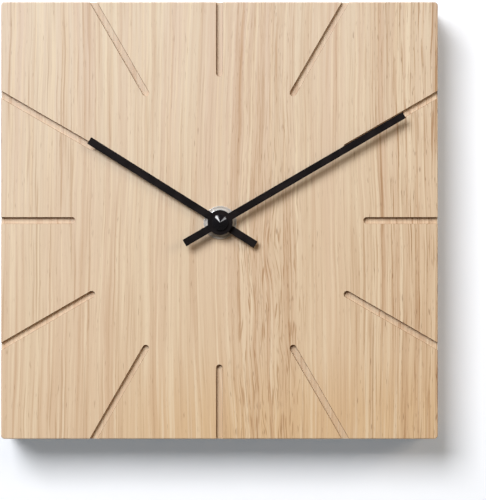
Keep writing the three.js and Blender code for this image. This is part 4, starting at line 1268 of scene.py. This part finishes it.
for step in range(1, CONE_STEPS + 1):
    along = step / CONE_STEPS
    radius = CONE_FOOT_RADIUS + (CONE_TOP_RADIUS - CONE_FOOT_RADIUS) * along
    cap_profile.append((radius, CONE_FOOT_OUT + (CONE_TOP_OUT - CONE_FOOT_OUT) * along))
cap_profile += [(0.12, 37.27), (0.0, 37.3)]
cap_mesh = turned("turned_cap", cap_profile, CAP_SIDES)
finished(
    "turned_cap",
    cap_mesh,
    cone_black,
    "minute_arbor",
    ["cap_nut"],
    sharp=30.0,
)


# The battery is one AA cell in a plain shrunk sleeve, slate blue with a pale grey end, that lets
# the steel of both poles show.
CELL_SIDES = 72
CELL_RADIUS = 7.25
CELL_AXIS_OUT = 9.45
CELL_AXIS_Z = -30.45
CELL_REAR = -24.6
CELL_PROFILE = [
    (0.0, 0.0),
    (4.9, 0.0),
    (5.3, 0.16),
    (5.7, 0.16),
    (6.1, 0.02),
    (6.8, 0.06),
    (7.12, 0.25),
    (CELL_RADIUS, 0.6),
    (CELL_RADIUS, 25.0),
    (CELL_RADIUS, 48.4),
    (7.12, 48.8),
    (6.8, 49.0),
    (6.2, 49.06),
    (5.9, 48.8),
    (3.2, 48.7),
    (3.0, 48.9),
    (2.8, 49.2),
    (2.75, 50.1),
    (2.5, 50.42),
    (2.1, 50.5),
    (0.0, 50.5),
]
cell_mesh = turned("cell", CELL_PROFILE, CELL_SIDES)
cell_mesh.transform(
    Matrix.Translation((CELL_REAR, -CELL_AXIS_OUT, CELL_AXIS_Z))
    @ Matrix.Rotation(QUARTER_TURN, 4, "Z")
)

POLE_RADIUS = 6.3
PALE_FROM_X = 16.0
LINE_X = 14.0
LINE_HALF = 0.35
CREASE_DEPTH = 0.04
SLEEVE_BLUE = paint(58, 82, 104)
SLEEVE_PALE = paint(182, 186, 188)
SLEEVE_LINE = paint(214, 214, 210)
SLEEVE_CREASE = paint(90, 92, 96)
POLE_STEEL = paint(196, 194, 188)
sleeve = Finish("cell_sleeve")
spot = sleeve.moved(sleeve.place(), (0, CELL_AXIS_OUT, HANDS_BELOW_HOOK - CELL_AXIS_Z))
x, y, z = sleeve.parts(spot)
from_axis = (y * y + z * z) ** 0.5
poles = sleeve.between(from_axis, POLE_RADIUS, POLE_RADIUS + 0.2, 1.0, 0.0)
line = sleeve.between((x - LINE_X).size(), LINE_HALF, LINE_HALF + 0.1, 1.0, 0.0)
shrink = sleeve.noise(sleeve.stretched(spot, (0.3, 1.2, 1.2)), 2.0)
film = sleeve.mix(sleeve.between(x, PALE_FROM_X, PALE_FROM_X + 0.3), SLEEVE_BLUE, SLEEVE_PALE)
film = sleeve.mix(line, film, SLEEVE_LINE)
film = sleeve.mix(shrink * 0.2, film, SLEEVE_CREASE)
sleeve.surface(
    sleeve.mix(poles, film, POLE_STEEL),
    0.26 + 0.12 * shrink,
    sleeve.bump(shrink, CREASE_DEPTH),
    Metallic=poles,
)
finished("cell", cell_mesh, sleeve, "battery", ["battery"], sharp=30.0)
